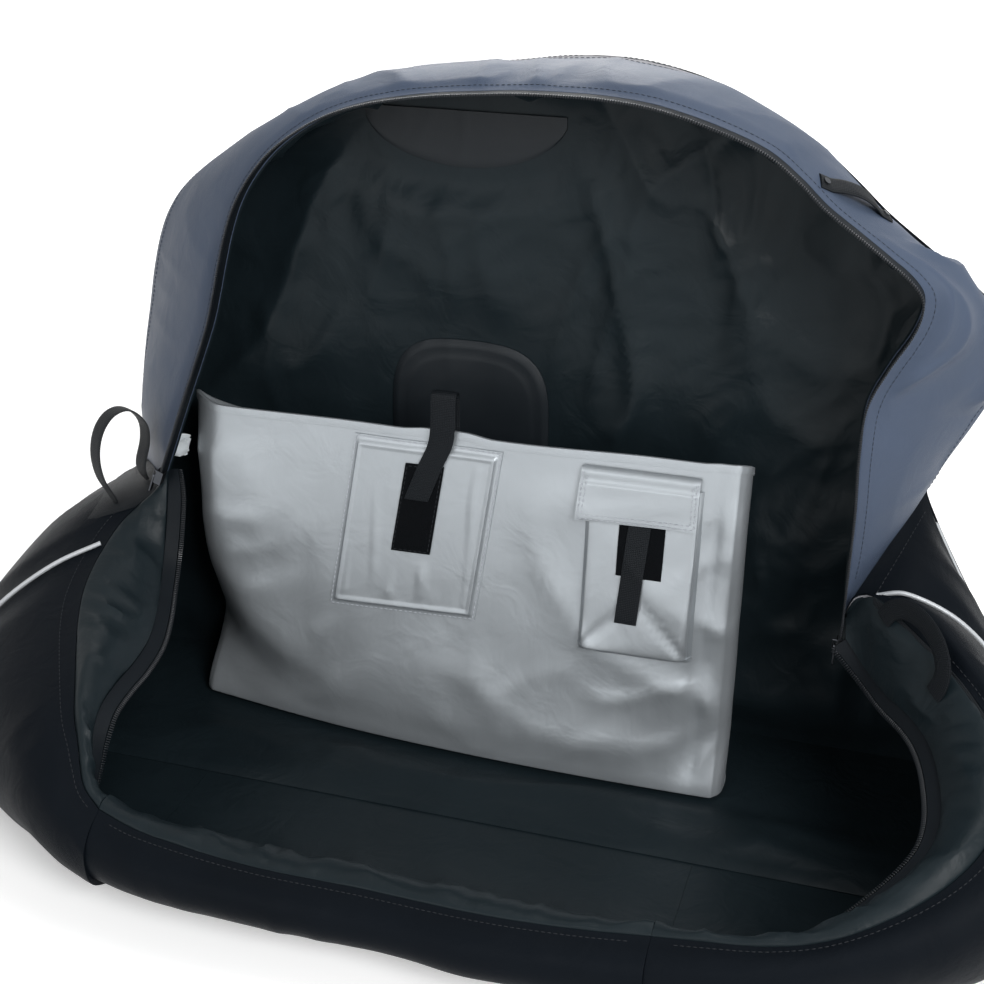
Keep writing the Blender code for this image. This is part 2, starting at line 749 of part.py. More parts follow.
def loop_keys(a, b, up, loop_shares, height):
    keys = [a + (b - a) * share_a + up * height * share_h for share_a, share_h in loop_shares]
    return keys


def standing_handle(side, foot_a, foot_b, lean, loop_shares, height):
    sit = patch_thickness + gap + handle_clearance
    place_a = surface_at(lower, *foot_a)
    place_b = surface_at(lower, *foot_b)
    along = unit(place_b - place_a)
    up = np.array(lean)
    up = unit(up - along * (up @ along))
    wide = np.cross(along, up)
    centres = []
    for place_on, foot in ((place_a, foot_a), (place_b, foot_b)):
        normal = unit(surface_at(lower_normals, *foot))
        reach = foot_radius * math.hypot(normal @ up, normal @ wide)
        reach += webbing_thickness / 2 * abs(normal @ along)
        centres.append(place_on + normal * (sit + reach))
    a, b = centres
    keys = [a - up * foot_radius, a] + loop_keys(a, b, up, loop_shares, height) + [b, b - up * foot_radius]
    line = spline_through(keys, 3)
    run = np.gradient(line, axis=0)
    walked = np.concatenate([[0], np.cumsum(np.linalg.norm(np.diff(line, axis=0), axis=1))])
    half_widths = []
    for distance in walked:
        drop = max(foot_radius - min(distance, walked[-1] - distance), 0)
        half_widths.append(max(math.sqrt(foot_radius ** 2 - drop ** 2), foot_radius * foot_tip_share))
    strip(side + "_end_handle", line, [wide] * len(line), np.cross(run, wide), half_widths,
          webbing_thickness, webbing_cloth, 0.6)
    hang(side + "_handle_axis", (a + b) / 2, [side + "_end_handle"])


def flat_handle(side, foot_a, foot_b, tilt, loop_shares, height):
    sit = patch_thickness + gap + flat_handle_lift + webbing_thickness / 2
    normal = unit(surface_at(lower_normals, *foot_a) + surface_at(lower_normals, *foot_b))
    a = surface_at(lower, *foot_a) + unit(surface_at(lower_normals, *foot_a)) * sit
    b = surface_at(lower, *foot_b) + unit(surface_at(lower_normals, *foot_b)) * sit
    along = unit(b - a)
    up = unit(np.cross(normal, along))
    if up[0] < 0:
        up = -up
    up = unit(up + unit(normal - along * (normal @ along)) * tilt)
    out = np.cross(along, up)
    keys = [a] + loop_keys(a, b, up, loop_shares, height) + [b]
    line = spline_through(keys, 3)
    run = np.gradient(line, axis=0)
    run[0] = up
    run[-1] = -up
    half_widths = [foot_radius * flat_width_share] * len(line)
    strip(side + "_end_handle", line, np.cross(run, out), [out] * len(line), half_widths,
          webbing_thickness, webbing_cloth, 0.6)
    hang(side + "_handle_axis", (a + b) / 2, [side + "_end_handle"])


left_loop_shares = [(-0.12, 0.12), (-0.45, 0.30), (-0.64, 0.50), (-0.58, 0.70), (-0.36, 0.84),
                    (-0.02, 0.88), (0.34, 0.82), (0.66, 0.68), (0.90, 0.48), (1.02, 0.24)]
right_loop_shares = [(0.02, 0.40), (0.14, 0.75), (0.38, 1.0), (0.66, 1.0), (0.88, 0.75), (0.98, 0.40)]
left_handle_height = 0.100
right_handle_height = 0.045
left_handle_lean = (0.10, 0.30, 1.0)
right_handle_tilt = 0.35
handle_patch("left", (left_pinch - 3, left_pinch + 2), (wall_steps - 2, wall_steps))
handle_patch("right", (right_pinch - 6, right_pinch - 3), (wall_steps, wall_steps + 2))
standing_handle("left", (left_pinch - 1, wall_steps - 0.25), (left_pinch + 1, wall_steps - 0.6),
                left_handle_lean, left_loop_shares, left_handle_height)
flat_handle("right", (right_pinch - 3.4, wall_steps + 0.6), (right_pinch - 5.0, wall_steps + 1.5),
            right_handle_tilt, right_loop_shares, right_handle_height)

# Wheel pocket on the back wall: a cloth sheet round an open-topped space
pocket_left = -0.566 * half_length
pocket_right = 0.459 * half_length
pocket_top = 0.515 * bag_height
pocket_floor_gap = 0.002
pocket_floor = base_top + pocket_floor_gap
pocket_rim_depth = 0.1176
pocket_toe_left = 0.155
pocket_toe_right = 0.175
pocket_wall = 0.002
sit_clearance = 0.0005


def pocket_front(x, z):
    across = (x - pocket_left) / (pocket_right - pocket_left)
    up = (z - pocket_floor) / (pocket_top - pocket_floor)
    toe = pocket_toe_left + (pocket_toe_right - pocket_toe_left) * across
    return seam_y - (toe + (pocket_rim_depth - toe) * up)


def bellows(across_shares, up_shares, corners, front, back):
    # A bulged sheet that meets what lies behind it at its sides and bottom. Each column has its place
    # along the bottom seam, its place where the sheet stands out fully, and how far it stands out.
    (left, floor), (right, top) = corners
    grid = []
    for seam_across, across, side_factor in across_shares:
        column = []
        for up, foot_factor in up_shares:
            x = left + (right - left) * (seam_across + (across - seam_across) * foot_factor)
            z = floor + (top - floor) * up
            column.append((x, back(x, z) + (front(x, z) - back(x, z)) * side_factor * foot_factor, z))
        grid.append(column)
    grid = np.array(grid)
    normals = grid_normals(grid)
    if normals[len(grid) // 2, -2, 1] > 0:
        normals = -normals
    normals[0, :, 1] = 0
    normals[-1, :, 1] = 0
    normals[:, 0, 1] = 0
    return grid, unit(normals)


pocket_side_shares = [(0.050, 0.050, 0.0), (0.056, 0.024, 0.38), (0.062, 0.003, 0.76), (0.070, 0.012, 0.96),
                      (0.085, 0.060, 1.0)]
pocket_middle_shares = [(0.30, 0.30, 1.0), (0.50, 0.50, 1.0), (0.70, 0.70, 1.0)]
pocket_up_shares = [(0.0, 0.0), (0.005, 0.50), (0.012, 0.92), (0.04, 1.0), (0.28, 1.0), (0.52, 1.0),
                    (0.76, 1.0), (1.0, 1.0)]


def both_sides(side_shares, middle_shares):
    mirrored = []
    for seam_across, across, factor in reversed(side_shares):
        mirrored.append((1 - seam_across, 1 - across, factor))
    return side_shares + middle_shares + mirrored


pocket_grid, pocket_normals = bellows(both_sides(pocket_side_shares, pocket_middle_shares), pocket_up_shares,
                                      ((pocket_left, pocket_floor), (pocket_right, pocket_top)),
                                      pocket_front, lambda x, z: seam_y)
shell("wheel_pocket", pocket_grid, pocket_normals, 0.0, pocket_wall, silver_cloth, 0.35)

# Folded hem over the pocket's rim
hem_height = 0.014
hem_thickness = 0.0012


def loft(name, rings, colour, roughness, metallic=0.0):
    # A closed profile carried along a line of rings, with a face at each end
    count = len(rings[0])
    faces = [tuple(range(count))]
    for ring in range(len(rings) - 1):
        for side in range(count):
            a = ring * count + side
            b = ring * count + (side + 1) % count
            faces.append((b, a, a + count, b + count))
    last = (len(rings) - 1) * count
    faces.append(tuple(last + side for side in reversed(range(count))))
    mesh = bpy.data.meshes.new(name)
    mesh.from_pydata([tuple(point) for ring in rings for point in ring], [], faces)
    made = add_object(name, mesh, colour, roughness, metallic)
    face_outwards(mesh)
    return made


def hem_rings():
    outer = gap + hem_thickness
    inner = -(pocket_wall + outer)
    profile = [(gap, -hem_height), (outer, -hem_height), (outer, outer), (inner, outer),
               (inner, -hem_height), (inner + hem_thickness, -hem_height),
               (inner + hem_thickness, gap), (gap, gap)]
    rings = []
    for i in range(len(pocket_grid)):
        rim = pocket_grid[i, -1]
        up = unit(rim - pocket_grid[i, -2])
        rings.append([rim + pocket_normals[i, -1] * out + up * high for out, high in profile])
    return rings


loft("pocket_rim_hem", hem_rings(), silver_cloth, 0.35)


def on_pocket(corner_shares, across_shares, down_shares, rises):
    # A four-cornered patch in front of the pocket, from its upper left corner round to its lower left
    corners = [np.array([x * half_length, z * bag_height]) for x, z in corner_shares]
    grid = []
    for i, across in enumerate(across_shares):
        column = []
        for j, down in enumerate(down_shares):
            x, z = ((1 - across) * (1 - down) * corners[0] + across * (1 - down) * corners[1]
                    + across * down * corners[2] + (1 - across) * down * corners[3])
            rise = rises(i, j)
            column.append((x, pocket_front(x, z) - rise, z))
        grid.append(column)
    return np.array(grid)


def flat_sheet(name, grid, thickness, colour, roughness):
    normals = np.zeros_like(grid)
    normals[..., 1] = -1
    shell(name, grid, normals, -thickness, 0.0, colour, roughness)


# Stiff hub guard under a sewn panel, with a loop patch for the strap
panel_thickness = 0.0015
plate_thickness = 0.002
panel_lift = sit_clearance + plate_thickness + 2 * gap
panel_corner_shares = [(-0.229, 0.496), (0.040, 0.496), (0.0, 0.245), (-0.276, 0.235)]
panel_border_shares = (0.0, 0.07, 0.93, 1.0)
plate_border_shares = (0.09, 0.91)
flat_sheet("hub_guard_panel",
           on_pocket(panel_corner_shares, panel_border_shares, panel_border_shares,
                     lambda i, j: panel_lift if i in (1, 2) and j in (1, 2) else sit_clearance),
           panel_thickness, silver_cloth, 0.35)
flat_sheet("hub_guard_plate",
           on_pocket(panel_corner_shares, plate_border_shares, plate_border_shares,
                     lambda i, j: sit_clearance),
           plate_thickness, board_colour, 0.5)
patch_lift = panel_lift + panel_thickness + 2 * gap
whole_shares = (0.0, 1.0)
loop_corner_shares = [(-0.132, 0.465), (-0.062, 0.466), (-0.084, 0.336), (-0.156, 0.335)]
flat_sheet("hub_loop_patch",
           on_pocket(loop_corner_shares, whole_shares, whole_shares, lambda i, j: patch_lift),
           patch_thickness, webbing_cloth, 0.8)

# Hub strap: its root is sewn inside the pocket, and its tail goes over the rim and down the front
hub_strap_width = 0.030
hub_strap_thickness = 0.0024
strap_x = -0.063 * half_length
strap_rise = 0.042
root_drop = 0.052
knee_drop = 0.026
bend_radius = 0.0075
bend_in_share = 0.3
bend_up_share = 0.7
tail_lean_share = 1.07
strap_peak = pocket_top + strap_rise
hem_inside = pocket_wall + gap + hem_thickness
strap_inside = seam_y - pocket_rim_depth + hem_inside + 2 * gap + hub_strap_thickness / 2
root_bottom = pocket_top - root_drop
root_knee = pocket_top - knee_drop
root_offset = pocket_wall + sit_clearance + hub_strap_thickness / 2
strap_gap = hub_strap_thickness / 2 + 2 * gap
root_line = [(strap_x, pocket_front(strap_x, root_bottom) + root_offset, root_bottom),
             (strap_x, pocket_front(strap_x, root_knee) + root_offset, root_knee),
             (strap_x, strap_inside, pocket_top - hem_height - gap),
             (strap_x, strap_inside, strap_peak - strap_gap)]
tail_rise = patch_lift + patch_thickness + 2 * gap + hub_strap_thickness / 2
rim_z = pocket_top - hem_height
tail_front = pocket_front(strap_x, rim_z) - tail_rise
tail_line = [(strap_x, strap_inside, strap_peak),
             (strap_x, strap_inside - bend_radius * bend_in_share, strap_peak + bend_radius * bend_up_share),
             (strap_x, (strap_inside + tail_front) / 2, strap_peak + bend_radius),
             (strap_x, tail_front + bend_radius * bend_in_share, strap_peak + bend_radius * bend_up_share),
             (strap_x, tail_front, strap_peak),
             (strap_x * tail_lean_share, tail_front, rim_z)]
for x_share, z_share in ((-0.088, 0.462), (-0.110, 0.415)):
    x = x_share * half_length
    z = z_share * bag_height
    tail_line.append((x, pocket_front(x, z) - tail_rise, z))


def strap(name, line, width, thickness, colour, roughness, wide=(1.0, 0.0, 0.0)):
    line = np.array(line)
    wide = np.array(wide)
    run = np.gradient(line, axis=0)
    half_widths = [width / 2] * len(line)
    strip(name, line, [wide] * len(line), np.cross(run, wide), half_widths, thickness, colour, roughness)


strap("hub_strap_root", root_line, hub_strap_width, hub_strap_thickness, webbing_cloth, 0.6)
strap("hub_strap", tail_line, hub_strap_width, hub_strap_thickness, webbing_cloth, 0.6)
hang("hub_strap_axis", tail_line[0], ["hub_strap"])

# Tool pocket with its flap, its loop patch and the flap's strap
tool_left = 0.190 * half_length
tool_right = 0.386 * half_length
tool_floor = 0.231 * bag_height
tool_top = 0.476 * bag_height
tool_bellows = 0.018
tool_wall = 0.0015
tool_side_shares = [(0.0, 0.0, 0.0), (0.03, 0.03, 0.6), (0.09, 0.09, 1.0)]
tool_middle_shares = [(0.5, 0.5, 1.0)]
tool_up_shares = [(0.0, 0.0), (0.03, 0.6), (0.08, 1.0), (0.5, 1.0), (1.0, 1.0)]
tool_grid, tool_normals = bellows(both_sides(tool_side_shares, tool_middle_shares), tool_up_shares,
                                  ((tool_left, tool_floor), (tool_right, tool_top)),
                                  lambda x, z: pocket_front(x, z) - sit_clearance - tool_bellows,
                                  lambda x, z: pocket_front(x, z) - sit_clearance)
shell("tool_pocket", tool_grid, tool_normals, 0.0, tool_wall, silver_cloth, 0.35)
tool_rise = sit_clearance + tool_bellows
thin_patch = 0.0015
tool_patch_lift = tool_rise + sit_clearance
tool_patch_shares = [(0.250, 0.428), (0.328, 0.428), (0.328, 0.350), (0.250, 0.350)]
flat_sheet("tool_loop_patch",
           on_pocket(tool_patch_shares, whole_shares, whole_shares, lambda i, j: tool_patch_lift),
           thin_patch, webbing_cloth, 0.8)
flap_strap_lift = tool_patch_lift + thin_patch + sit_clearance
flap_strap_shares = [(0.268, 0.445), (0.306, 0.445), (0.292, 0.284), (0.254, 0.284)]
flat_sheet("tool_flap_strap",
           on_pocket(flap_strap_shares, whole_shares, whole_shares, lambda i, j: flap_strap_lift),
           thin_patch, webbing_cloth, 0.6)
flap_lift = flap_strap_lift + thin_patch + gap
flap_root = 0.002
flap_thickness = 0.0015
flap_corner_shares = [(0.180, 0.494), (0.380, 0.494), (0.380, 0.424), (0.174, 0.421)]
flap_down_shares = (0.0, 0.2, 1.0)
flat_sheet("tool_flap",
           on_pocket(flap_corner_shares, whole_shares, flap_down_shares,
                     lambda i, j: flap_lift if j else flap_root),
           flap_thickness, silver_cloth, 0.35)
flap_z = flap_corner_shares[0][1] * bag_height
flap_x = (flap_corner_shares[0][0] + flap_corner_shares[1][0]) / 2 * half_length
flap_y = pocket_front(flap_x, flap_z) - flap_root - flap_thickness / 2
hang("tool_flap_axis", (flap_x, flap_y, flap_z), ["tool_flap", "tool_flap_strap"])


def on_back(name, outline, x, z, thickness, colour, roughness):
    frame = upright_frame(back_front_y - gap - thickness / 2)
    plate(name, [(x + across, z + up) for across, up in outline], thickness, frame, colour, roughness)


# Rubbing pad behind the wheel's hub, and the bare maker's patch near the top
hub_pad_x_share = -0.075
hub_pad_z_share = 0.475
hub_pad_half_x = 0.10
hub_pad_half_z = 0.105
hub_pad_radius = 0.035
hub_pad_thickness = 0.005
on_back("hub_pad", rounded_outline(hub_pad_half_x, hub_pad_half_z, hub_pad_radius),
        hub_pad_x_share * half_length, hub_pad_z_share * bag_height, hub_pad_thickness, webbing_cloth, 0.5)
top_patch_x_share = -0.082
top_patch_z_share = 0.922
top_patch_half_x = 0.12
top_patch_drop = 0.065
top_patch_thickness = 0.002
top_patch = []
for degrees in range(180, 361, 15):
    turned = math.radians(degrees)
    top_patch.append((top_patch_half_x * math.cos(turned), top_patch_drop * math.sin(turned)))
on_back("top_label", top_patch, top_patch_x_share * half_length, top_patch_z_share * bag_height,
        top_patch_thickness, webbing_cloth, 0.5)

# Care label: a folded strip that stands off the gusset's lining near the left slider
label_width = 0.020
label_length = 0.026
label_thickness = 0.0008
label_fold = 0.0016
label_column = 1.0
label_row = 5.0
label_clearance = 0.0014
label_normal = -unit(surface_at(arch_normals, label_column, label_row))
label_depth = far_lining_depth + label_clearance
label_root = surface_at(arch_part, label_column, label_row) + label_normal * label_depth
label_along = unit(surface_at(arch, label_column + 1, label_row) - surface_at(arch, label_column, label_row))
label_across = unit(np.cross(label_along, label_normal))
label_top = label_root + label_normal * label_length
label_line = [label_root - label_across * label_fold, label_top - label_across * label_fold,
              label_top + label_normal * label_fold,
              label_top + label_across * label_fold, label_root + label_across * label_fold]
strap("care_label", label_line, label_width, label_thickness, label_colour, 0.6, wide=label_along)

# Grab strap on the far gusset's right shoulder, flat at its two riveted ends and arched between
grab_start = (23.2, 5.0)
grab_end = (24.4, 2.2)
grab_half_share = (0.21, 0.39)
grab_rise = 0.008
grab_rise_shares = [(0.0, 0.0), (0.14, 0.0), (0.30, 0.65), (0.50, 1.0), (0.70, 0.65), (0.86, 0.0), (1.0, 0.0)]
bpy.context.view_layer.update()
gusset_tree = BVHTree.FromObject(bpy.data.objects["far_gusset"], bpy.context.evaluated_depsgraph_get())


def on_gusset(u, v, rise):
    # A point above the gusset's own facets
    point = Vector(surface_at(arch_part, u, v))
    normal = Vector(unit(surface_at(arch_normals, u, v)))
    reach = webbing_width
    hit = gusset_tree.ray_cast(point + normal * reach, -normal)[0]
    return np.array(hit + normal * rise), np.array(normal)


grab_rows = []
grab_normals = []
for share, lift in grab_rise_shares:
    row = []
    row_normals = []
    for side in (-1, 0, 1):
        u = grab_start[0] + (grab_end[0] - grab_start[0]) * share + grab_half_share[0] * side
        v = grab_start[1] + (grab_end[1] - grab_start[1]) * share + grab_half_share[1] * side
        point, normal = on_gusset(u, v, sit_clearance + grab_rise * lift)
        row.append(point)
        row_normals.append(normal)
    grab_rows.append(row)
    grab_normals.append(row_normals)
shell("grab_strap", np.array(grab_rows), np.array(grab_normals), -webbing_thickness, 0.0, webbing_cloth, 0.6)
rivet_radius = 0.004
rivet_height = 0.0012
rivet_round_share = 0.99
for side, share in (("left", 0.07), ("right", 0.93)):
    u = grab_start[0] + (grab_end[0] - grab_start[0]) * share
    v = grab_start[1] + (grab_end[1] - grab_start[1]) * share
    point, normal = on_gusset(u, v, sit_clearance + webbing_thickness + 2 * gap + rivet_height / 2)
    turn = Vector(normal).to_track_quat("Z", "Y").to_matrix().to_4x4()
    disc = rounded_outline(rivet_radius, rivet_radius, rivet_radius * rivet_round_share, 4)
    frame = Matrix.Translation(point) @ turn
    plate("grab_strap_rivet_" + side, disc, rivet_height, frame, zip_metal, 0.3, 1.0)

# The slumped front folds up about the base's front edge
fold_height = base_top + seam_gap
hang("front_fold_axis", (0.0, -half_depth, fold_height),
     ["front_skin", "front_foam", "front_lining", "front_near_gusset", "front_zip_tape", "front_zip_coil"])
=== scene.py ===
import math

import bpy
import numpy as np
from mathutils import Matrix, Vector
from mathutils.bvhtree import BVHTree


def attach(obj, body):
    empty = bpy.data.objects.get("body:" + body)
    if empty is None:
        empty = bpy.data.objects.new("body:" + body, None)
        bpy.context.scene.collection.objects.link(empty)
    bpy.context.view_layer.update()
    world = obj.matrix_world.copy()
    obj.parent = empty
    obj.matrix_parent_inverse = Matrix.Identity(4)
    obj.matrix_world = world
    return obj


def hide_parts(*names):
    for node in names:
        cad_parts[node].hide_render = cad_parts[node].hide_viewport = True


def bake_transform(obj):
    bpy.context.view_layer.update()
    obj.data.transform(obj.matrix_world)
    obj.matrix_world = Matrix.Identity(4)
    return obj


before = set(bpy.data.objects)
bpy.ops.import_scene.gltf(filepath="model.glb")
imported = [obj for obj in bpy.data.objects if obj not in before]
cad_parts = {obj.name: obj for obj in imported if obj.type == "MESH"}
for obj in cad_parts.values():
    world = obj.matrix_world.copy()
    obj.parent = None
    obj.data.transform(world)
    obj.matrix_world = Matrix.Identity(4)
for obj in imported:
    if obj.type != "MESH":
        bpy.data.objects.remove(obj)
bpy.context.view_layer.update()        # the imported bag, in metres, standing on z = 0
print("stage: frame loaded")

# The camera stands in front of the open mouth, a little to its right, and looks down into it
cameraLook = {"place": (0.508, -1.607, 1.157), "yaw": 17.0, "down": 25.0, "roll": 0.3, "lens": 58.5}

def addCamera(look):
    turn, drop, roll = (math.radians(look[key]) for key in ("yaw", "down", "roll"))
    ahead = Vector((-math.sin(turn) * math.cos(drop), math.cos(turn) * math.cos(drop), -math.sin(drop)))
    right = Vector((math.cos(turn), math.sin(turn), 0))
    under = ahead.cross(right)
    across = right * math.cos(roll) - under * math.sin(roll)
    down = right * math.sin(roll) + under * math.cos(roll)
    bpy.ops.object.camera_add()
    camera = bpy.context.object
    columns = (across, -down, -ahead, Vector(look["place"]))
    camera.matrix_world = Matrix([[column[row] for column in columns] for row in range(3)] + [[0, 0, 0, 1]])
    camera.data.lens = look["lens"]
    camera.data.sensor_width = 36
    camera.data.dof.use_dof = False
    bpy.context.scene.camera = camera

bpy.ops.object.select_all(action="DESELECT")
addCamera(cameraLook)

# Sizes that all pieces share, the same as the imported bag's
bagSizes = {"halfLength": 0.68, "halfDepth": 0.145, "height": 0.85, "frontReach": 0.30, "frontSplit": 0.30,
            "footHalfX": 0.645, "footCorner": 0.06, "gap": 0.0003, "backFront": 0.1299, "seamY": 0.1296,
            "floorTop": 0.0194}
layers = {"skin": 0.0025, "foam": 0.010, "foamSeam": 0.0015, "lining": 0.002, "gusset": 0.006, "board": 0.004}
halfLength = bagSizes["halfLength"]
halfDepth = bagSizes["halfDepth"]
bagHeight = bagSizes["height"]
gap = bagSizes["gap"]
seamY = bagSizes["seamY"]
spanSteps, wallSteps, gussetSteps, archSteps = 3, 8, 3, 2

def unit(vectors):
    vectors = np.asarray(vectors, float)
    return vectors / np.maximum(np.linalg.norm(vectors, axis=-1, keepdims=True), 1e-12)

def splineThrough(points, steps):
    points = np.asarray(points, float)
    held = np.concatenate([[2 * points[0] - points[1]], points, [2 * points[-1] - points[-2]]])
    samples = []
    for span in range(len(points) - 1):
        a, b, c, d = held[span:span + 4]
        for step in range(steps):
            t = step / steps
            samples.append(0.5 * (2 * b + (c - a) * t + (2 * a - 5 * b + 4 * c - d) * t ** 2
                                  + (3 * b - a - 3 * c + d) * t ** 3))
    samples.append(points[-1])
    return np.array(samples)

def refined(grid, along, across):
    # A finer grid through the same points
    grid = splineThrough(grid, along)
    return splineThrough(grid.swapaxes(0, 1), across).swapaxes(0, 1)

def gridNormals(grid):
    return unit(np.cross(np.gradient(grid, axis=0), np.gradient(grid, axis=1)))

def softNoise(places, cell, seed):
    # Smooth noise between -1 and 1 that is the same on each run
    scaled = np.asarray(places, float) / cell + seed * 7.31
    base = np.floor(scaled).astype(np.int64)
    part = scaled - base
    part = part * part * (3 - 2 * part)
    total = np.zeros(scaled.shape[:-1])
    for corner in range(2 ** scaled.shape[-1]):
        weight = np.ones(scaled.shape[:-1])
        mixed = np.full(scaled.shape[:-1], seed * 977 + 13, np.int64)
        for axis in range(scaled.shape[-1]):
            side = (corner >> axis) & 1
            weight = weight * (part[..., axis] if side else 1 - part[..., axis])
            mixed = (mixed * 31 + (base[..., axis] + side) * (73856093 + 19349663 * axis)) & 0x7fffffff
            mixed = ((mixed ^ (mixed >> 13)) * 1274126177) & 0x7fffffff
        total += weight * ((mixed ^ (mixed >> 16)) & 0xffff) / 32767.5
    return total - 1

def folds(flat, size, stretch, degrees, seed):
    # Long soft ridges between 0 and 1, on a plane that is turned and stretched
    turn = math.radians(degrees)
    warp = softNoise(flat, size * 2.2, seed + 5) * size * 0.7
    x = (flat[..., 0] * math.cos(turn) + flat[..., 1] * math.sin(turn)) / stretch
    y = flat[..., 1] * math.cos(turn) - flat[..., 0] * math.sin(turn) + warp
    return (1 - np.abs(softNoise(np.stack([x, y], -1), size, seed))) ** 2.5

def smooth(values, start, end):
    t = np.clip((np.asarray(values, float) - start) / (end - start), 0, 1)
    return t * t * (3 - 2 * t)

def between(values, start, full, last, end):
    # 1 from full to last, 0 before start and after end
    return smooth(values, start, full) * (1 - smooth(values, last, end))

def lengthsOf(line):
    return np.concatenate([[0], np.cumsum(np.linalg.norm(np.diff(line, axis=0), axis=1))])

def interpolated(at, lengths, line):
    return np.stack([np.interp(at, lengths, line[:, k]) for k in range(line.shape[1])], -1)

def fading(i, j, sideShare, endShare):
    # 1 in the middle of a piece, 0 at its edges
    return smooth(np.minimum(i, 1 - i), 0, sideShare) * smooth(np.minimum(j, 1 - j), 0, endShare)

def creased(flat, sorts):
    # Folds of several sorts, each with its size, stretch, degrees, seed and share
    return sum(folds(flat, size, stretch, degrees, seed) * share
               for size, stretch, degrees, seed, share in sorts)

def walked(grid):
    # Metres along both ways of a grid
    alongU = np.concatenate([[0], np.cumsum(np.linalg.norm(np.diff(grid, axis=0), axis=2).mean(1))])
    alongV = np.concatenate([[0], np.cumsum(np.linalg.norm(np.diff(grid, axis=1), axis=2).mean(0))])
    return np.stack(np.meshgrid(alongU, alongV, indexing="ij"), -1)

def gridPiece(name, flat, finish):
    # A grid with the cloth's own places as UV, and each vertex's column and row
    columns, rows = flat.shape[:2]
    bpy.ops.object.select_all(action="DESELECT")
    bpy.ops.mesh.primitive_grid_add(x_subdivisions=columns - 1, y_subdivisions=rows - 1, size=2)
    piece = bpy.context.object
    piece.name = name
    mesh = piece.data
    mesh.name = name
    places = np.empty(len(mesh.vertices) * 3)
    mesh.vertices.foreach_get("co", places)
    places = places.reshape(-1, 3)
    i = np.rint((places[:, 0] + 1) / 2 * (columns - 1)).astype(int)
    j = np.rint((places[:, 1] + 1) / 2 * (rows - 1)).astype(int)
    corners = np.empty(len(mesh.loops), np.int32)
    mesh.loops.foreach_get("vertex_index", corners)
    mesh.uv_layers[0].data.foreach_set("uv", flat[i, j][corners].ravel())
    mesh.materials.append(finish)
    return piece, i, j

def shaped(name, outer, inner, finish, flat=None):
    # A sheet between two surfaces, each a grid of points
    piece, i, j = gridPiece(name, walked(outer) if flat is None else flat, finish)
    wall = piece.modifiers.new("wall", "SOLIDIFY")
    wall.thickness = 0.001
    bpy.ops.object.modifier_apply(modifier="wall")
    piece.data.vertices.foreach_set("co", np.concatenate([outer[i, j], inner[i, j]]).ravel())
    piece.data.update()
    return closed(piece)

def closed(piece, angle=50):
    # Faces point outwards, and only sharp edges stay sharp
    mesh = piece.data
    mesh.calc_loop_triangles()
    co = np.empty(len(mesh.vertices) * 3)
    mesh.vertices.foreach_get("co", co)
    co = co.reshape(-1, 3)
    triangles = np.empty(len(mesh.loop_triangles) * 3, np.int32)
    mesh.loop_triangles.foreach_get("vertices", triangles)
    a, b, c = (co[triangles.reshape(-1, 3)[:, k]] for k in range(3))
    if np.sum(a * np.cross(b, c)) < 0:
        mesh.flip_normals()
    bpy.ops.object.select_all(action="DESELECT")
    bpy.context.view_layer.objects.active = piece
    piece.select_set(True)
    bpy.ops.object.shade_smooth_by_angle(angle=math.radians(angle))
    piece.select_set(False)
    return piece

def dress(piece, replaced=(), body="bag", bend=None):
    if bend:
        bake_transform(piece)
    else:
        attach(piece, body)
    if replaced:
        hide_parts(*replaced)
    return piece

def copied(name, single, places, finish):
    # One mesh of copies of a small piece, at a list of matrices
    mesh = single.data
    count = len(mesh.vertices)
    co = np.empty(count * 3)
    mesh.vertices.foreach_get("co", co)
    co = np.c_[co.reshape(-1, 3), np.ones(count)]
    everywhere = np.concatenate([(co @ np.array(place).T)[:, :3] for place in places])
    faces = [tuple(face.vertices) for face in mesh.polygons]
    allFaces = [tuple(index + count * turn for index in face)
                for turn in range(len(places)) for face in faces]
    made = bpy.data.meshes.new(name)
    made.from_pydata(everywhere.tolist(), [], allFaces)
    made.materials.append(finish)
    piece = bpy.data.objects.new(name, made)
    bpy.context.scene.collection.objects.link(piece)
    bpy.data.objects.remove(single)
    return closed(piece, 40)

def evenly(line, pitch, margin=0.0):
    # Places, headings and shares at an even pitch along a line
    line = np.asarray(line, float)
    lengths = lengthsOf(line)
    count = max(int((lengths[-1] - 2 * margin) / pitch), 1)
    at = margin + (np.arange(count) + 0.5) * (lengths[-1] - 2 * margin) / count
    ahead = interpolated(at + pitch / 3, lengths, line)
    behind = interpolated(at - pitch / 3, lengths, line)
    return interpolated(at, lengths, line), unit(ahead - behind), np.interp(at, lengths, np.arange(len(line)))

def axesAt(heading, normal, spot):
    normal = unit(normal - heading * np.sum(heading * normal))
    side = np.cross(normal, heading)
    return [[heading[k], side[k], normal[k], spot[k]] for k in range(3)] + [[0, 0, 0, 1]]

threadSizes = {"length": 0.0046, "radius": 0.00042, "pitch": 0.0062}

def placesAlong(line, normals, pitch, margin=0.0):
    places = []
    for spot, heading, share in zip(*evenly(line, pitch, margin)):
        up = unit(np.array([np.interp(share, np.arange(len(line)), normals[:, k]) for k in range(3)]))
        places.append(axesAt(heading, up, spot))
    return places

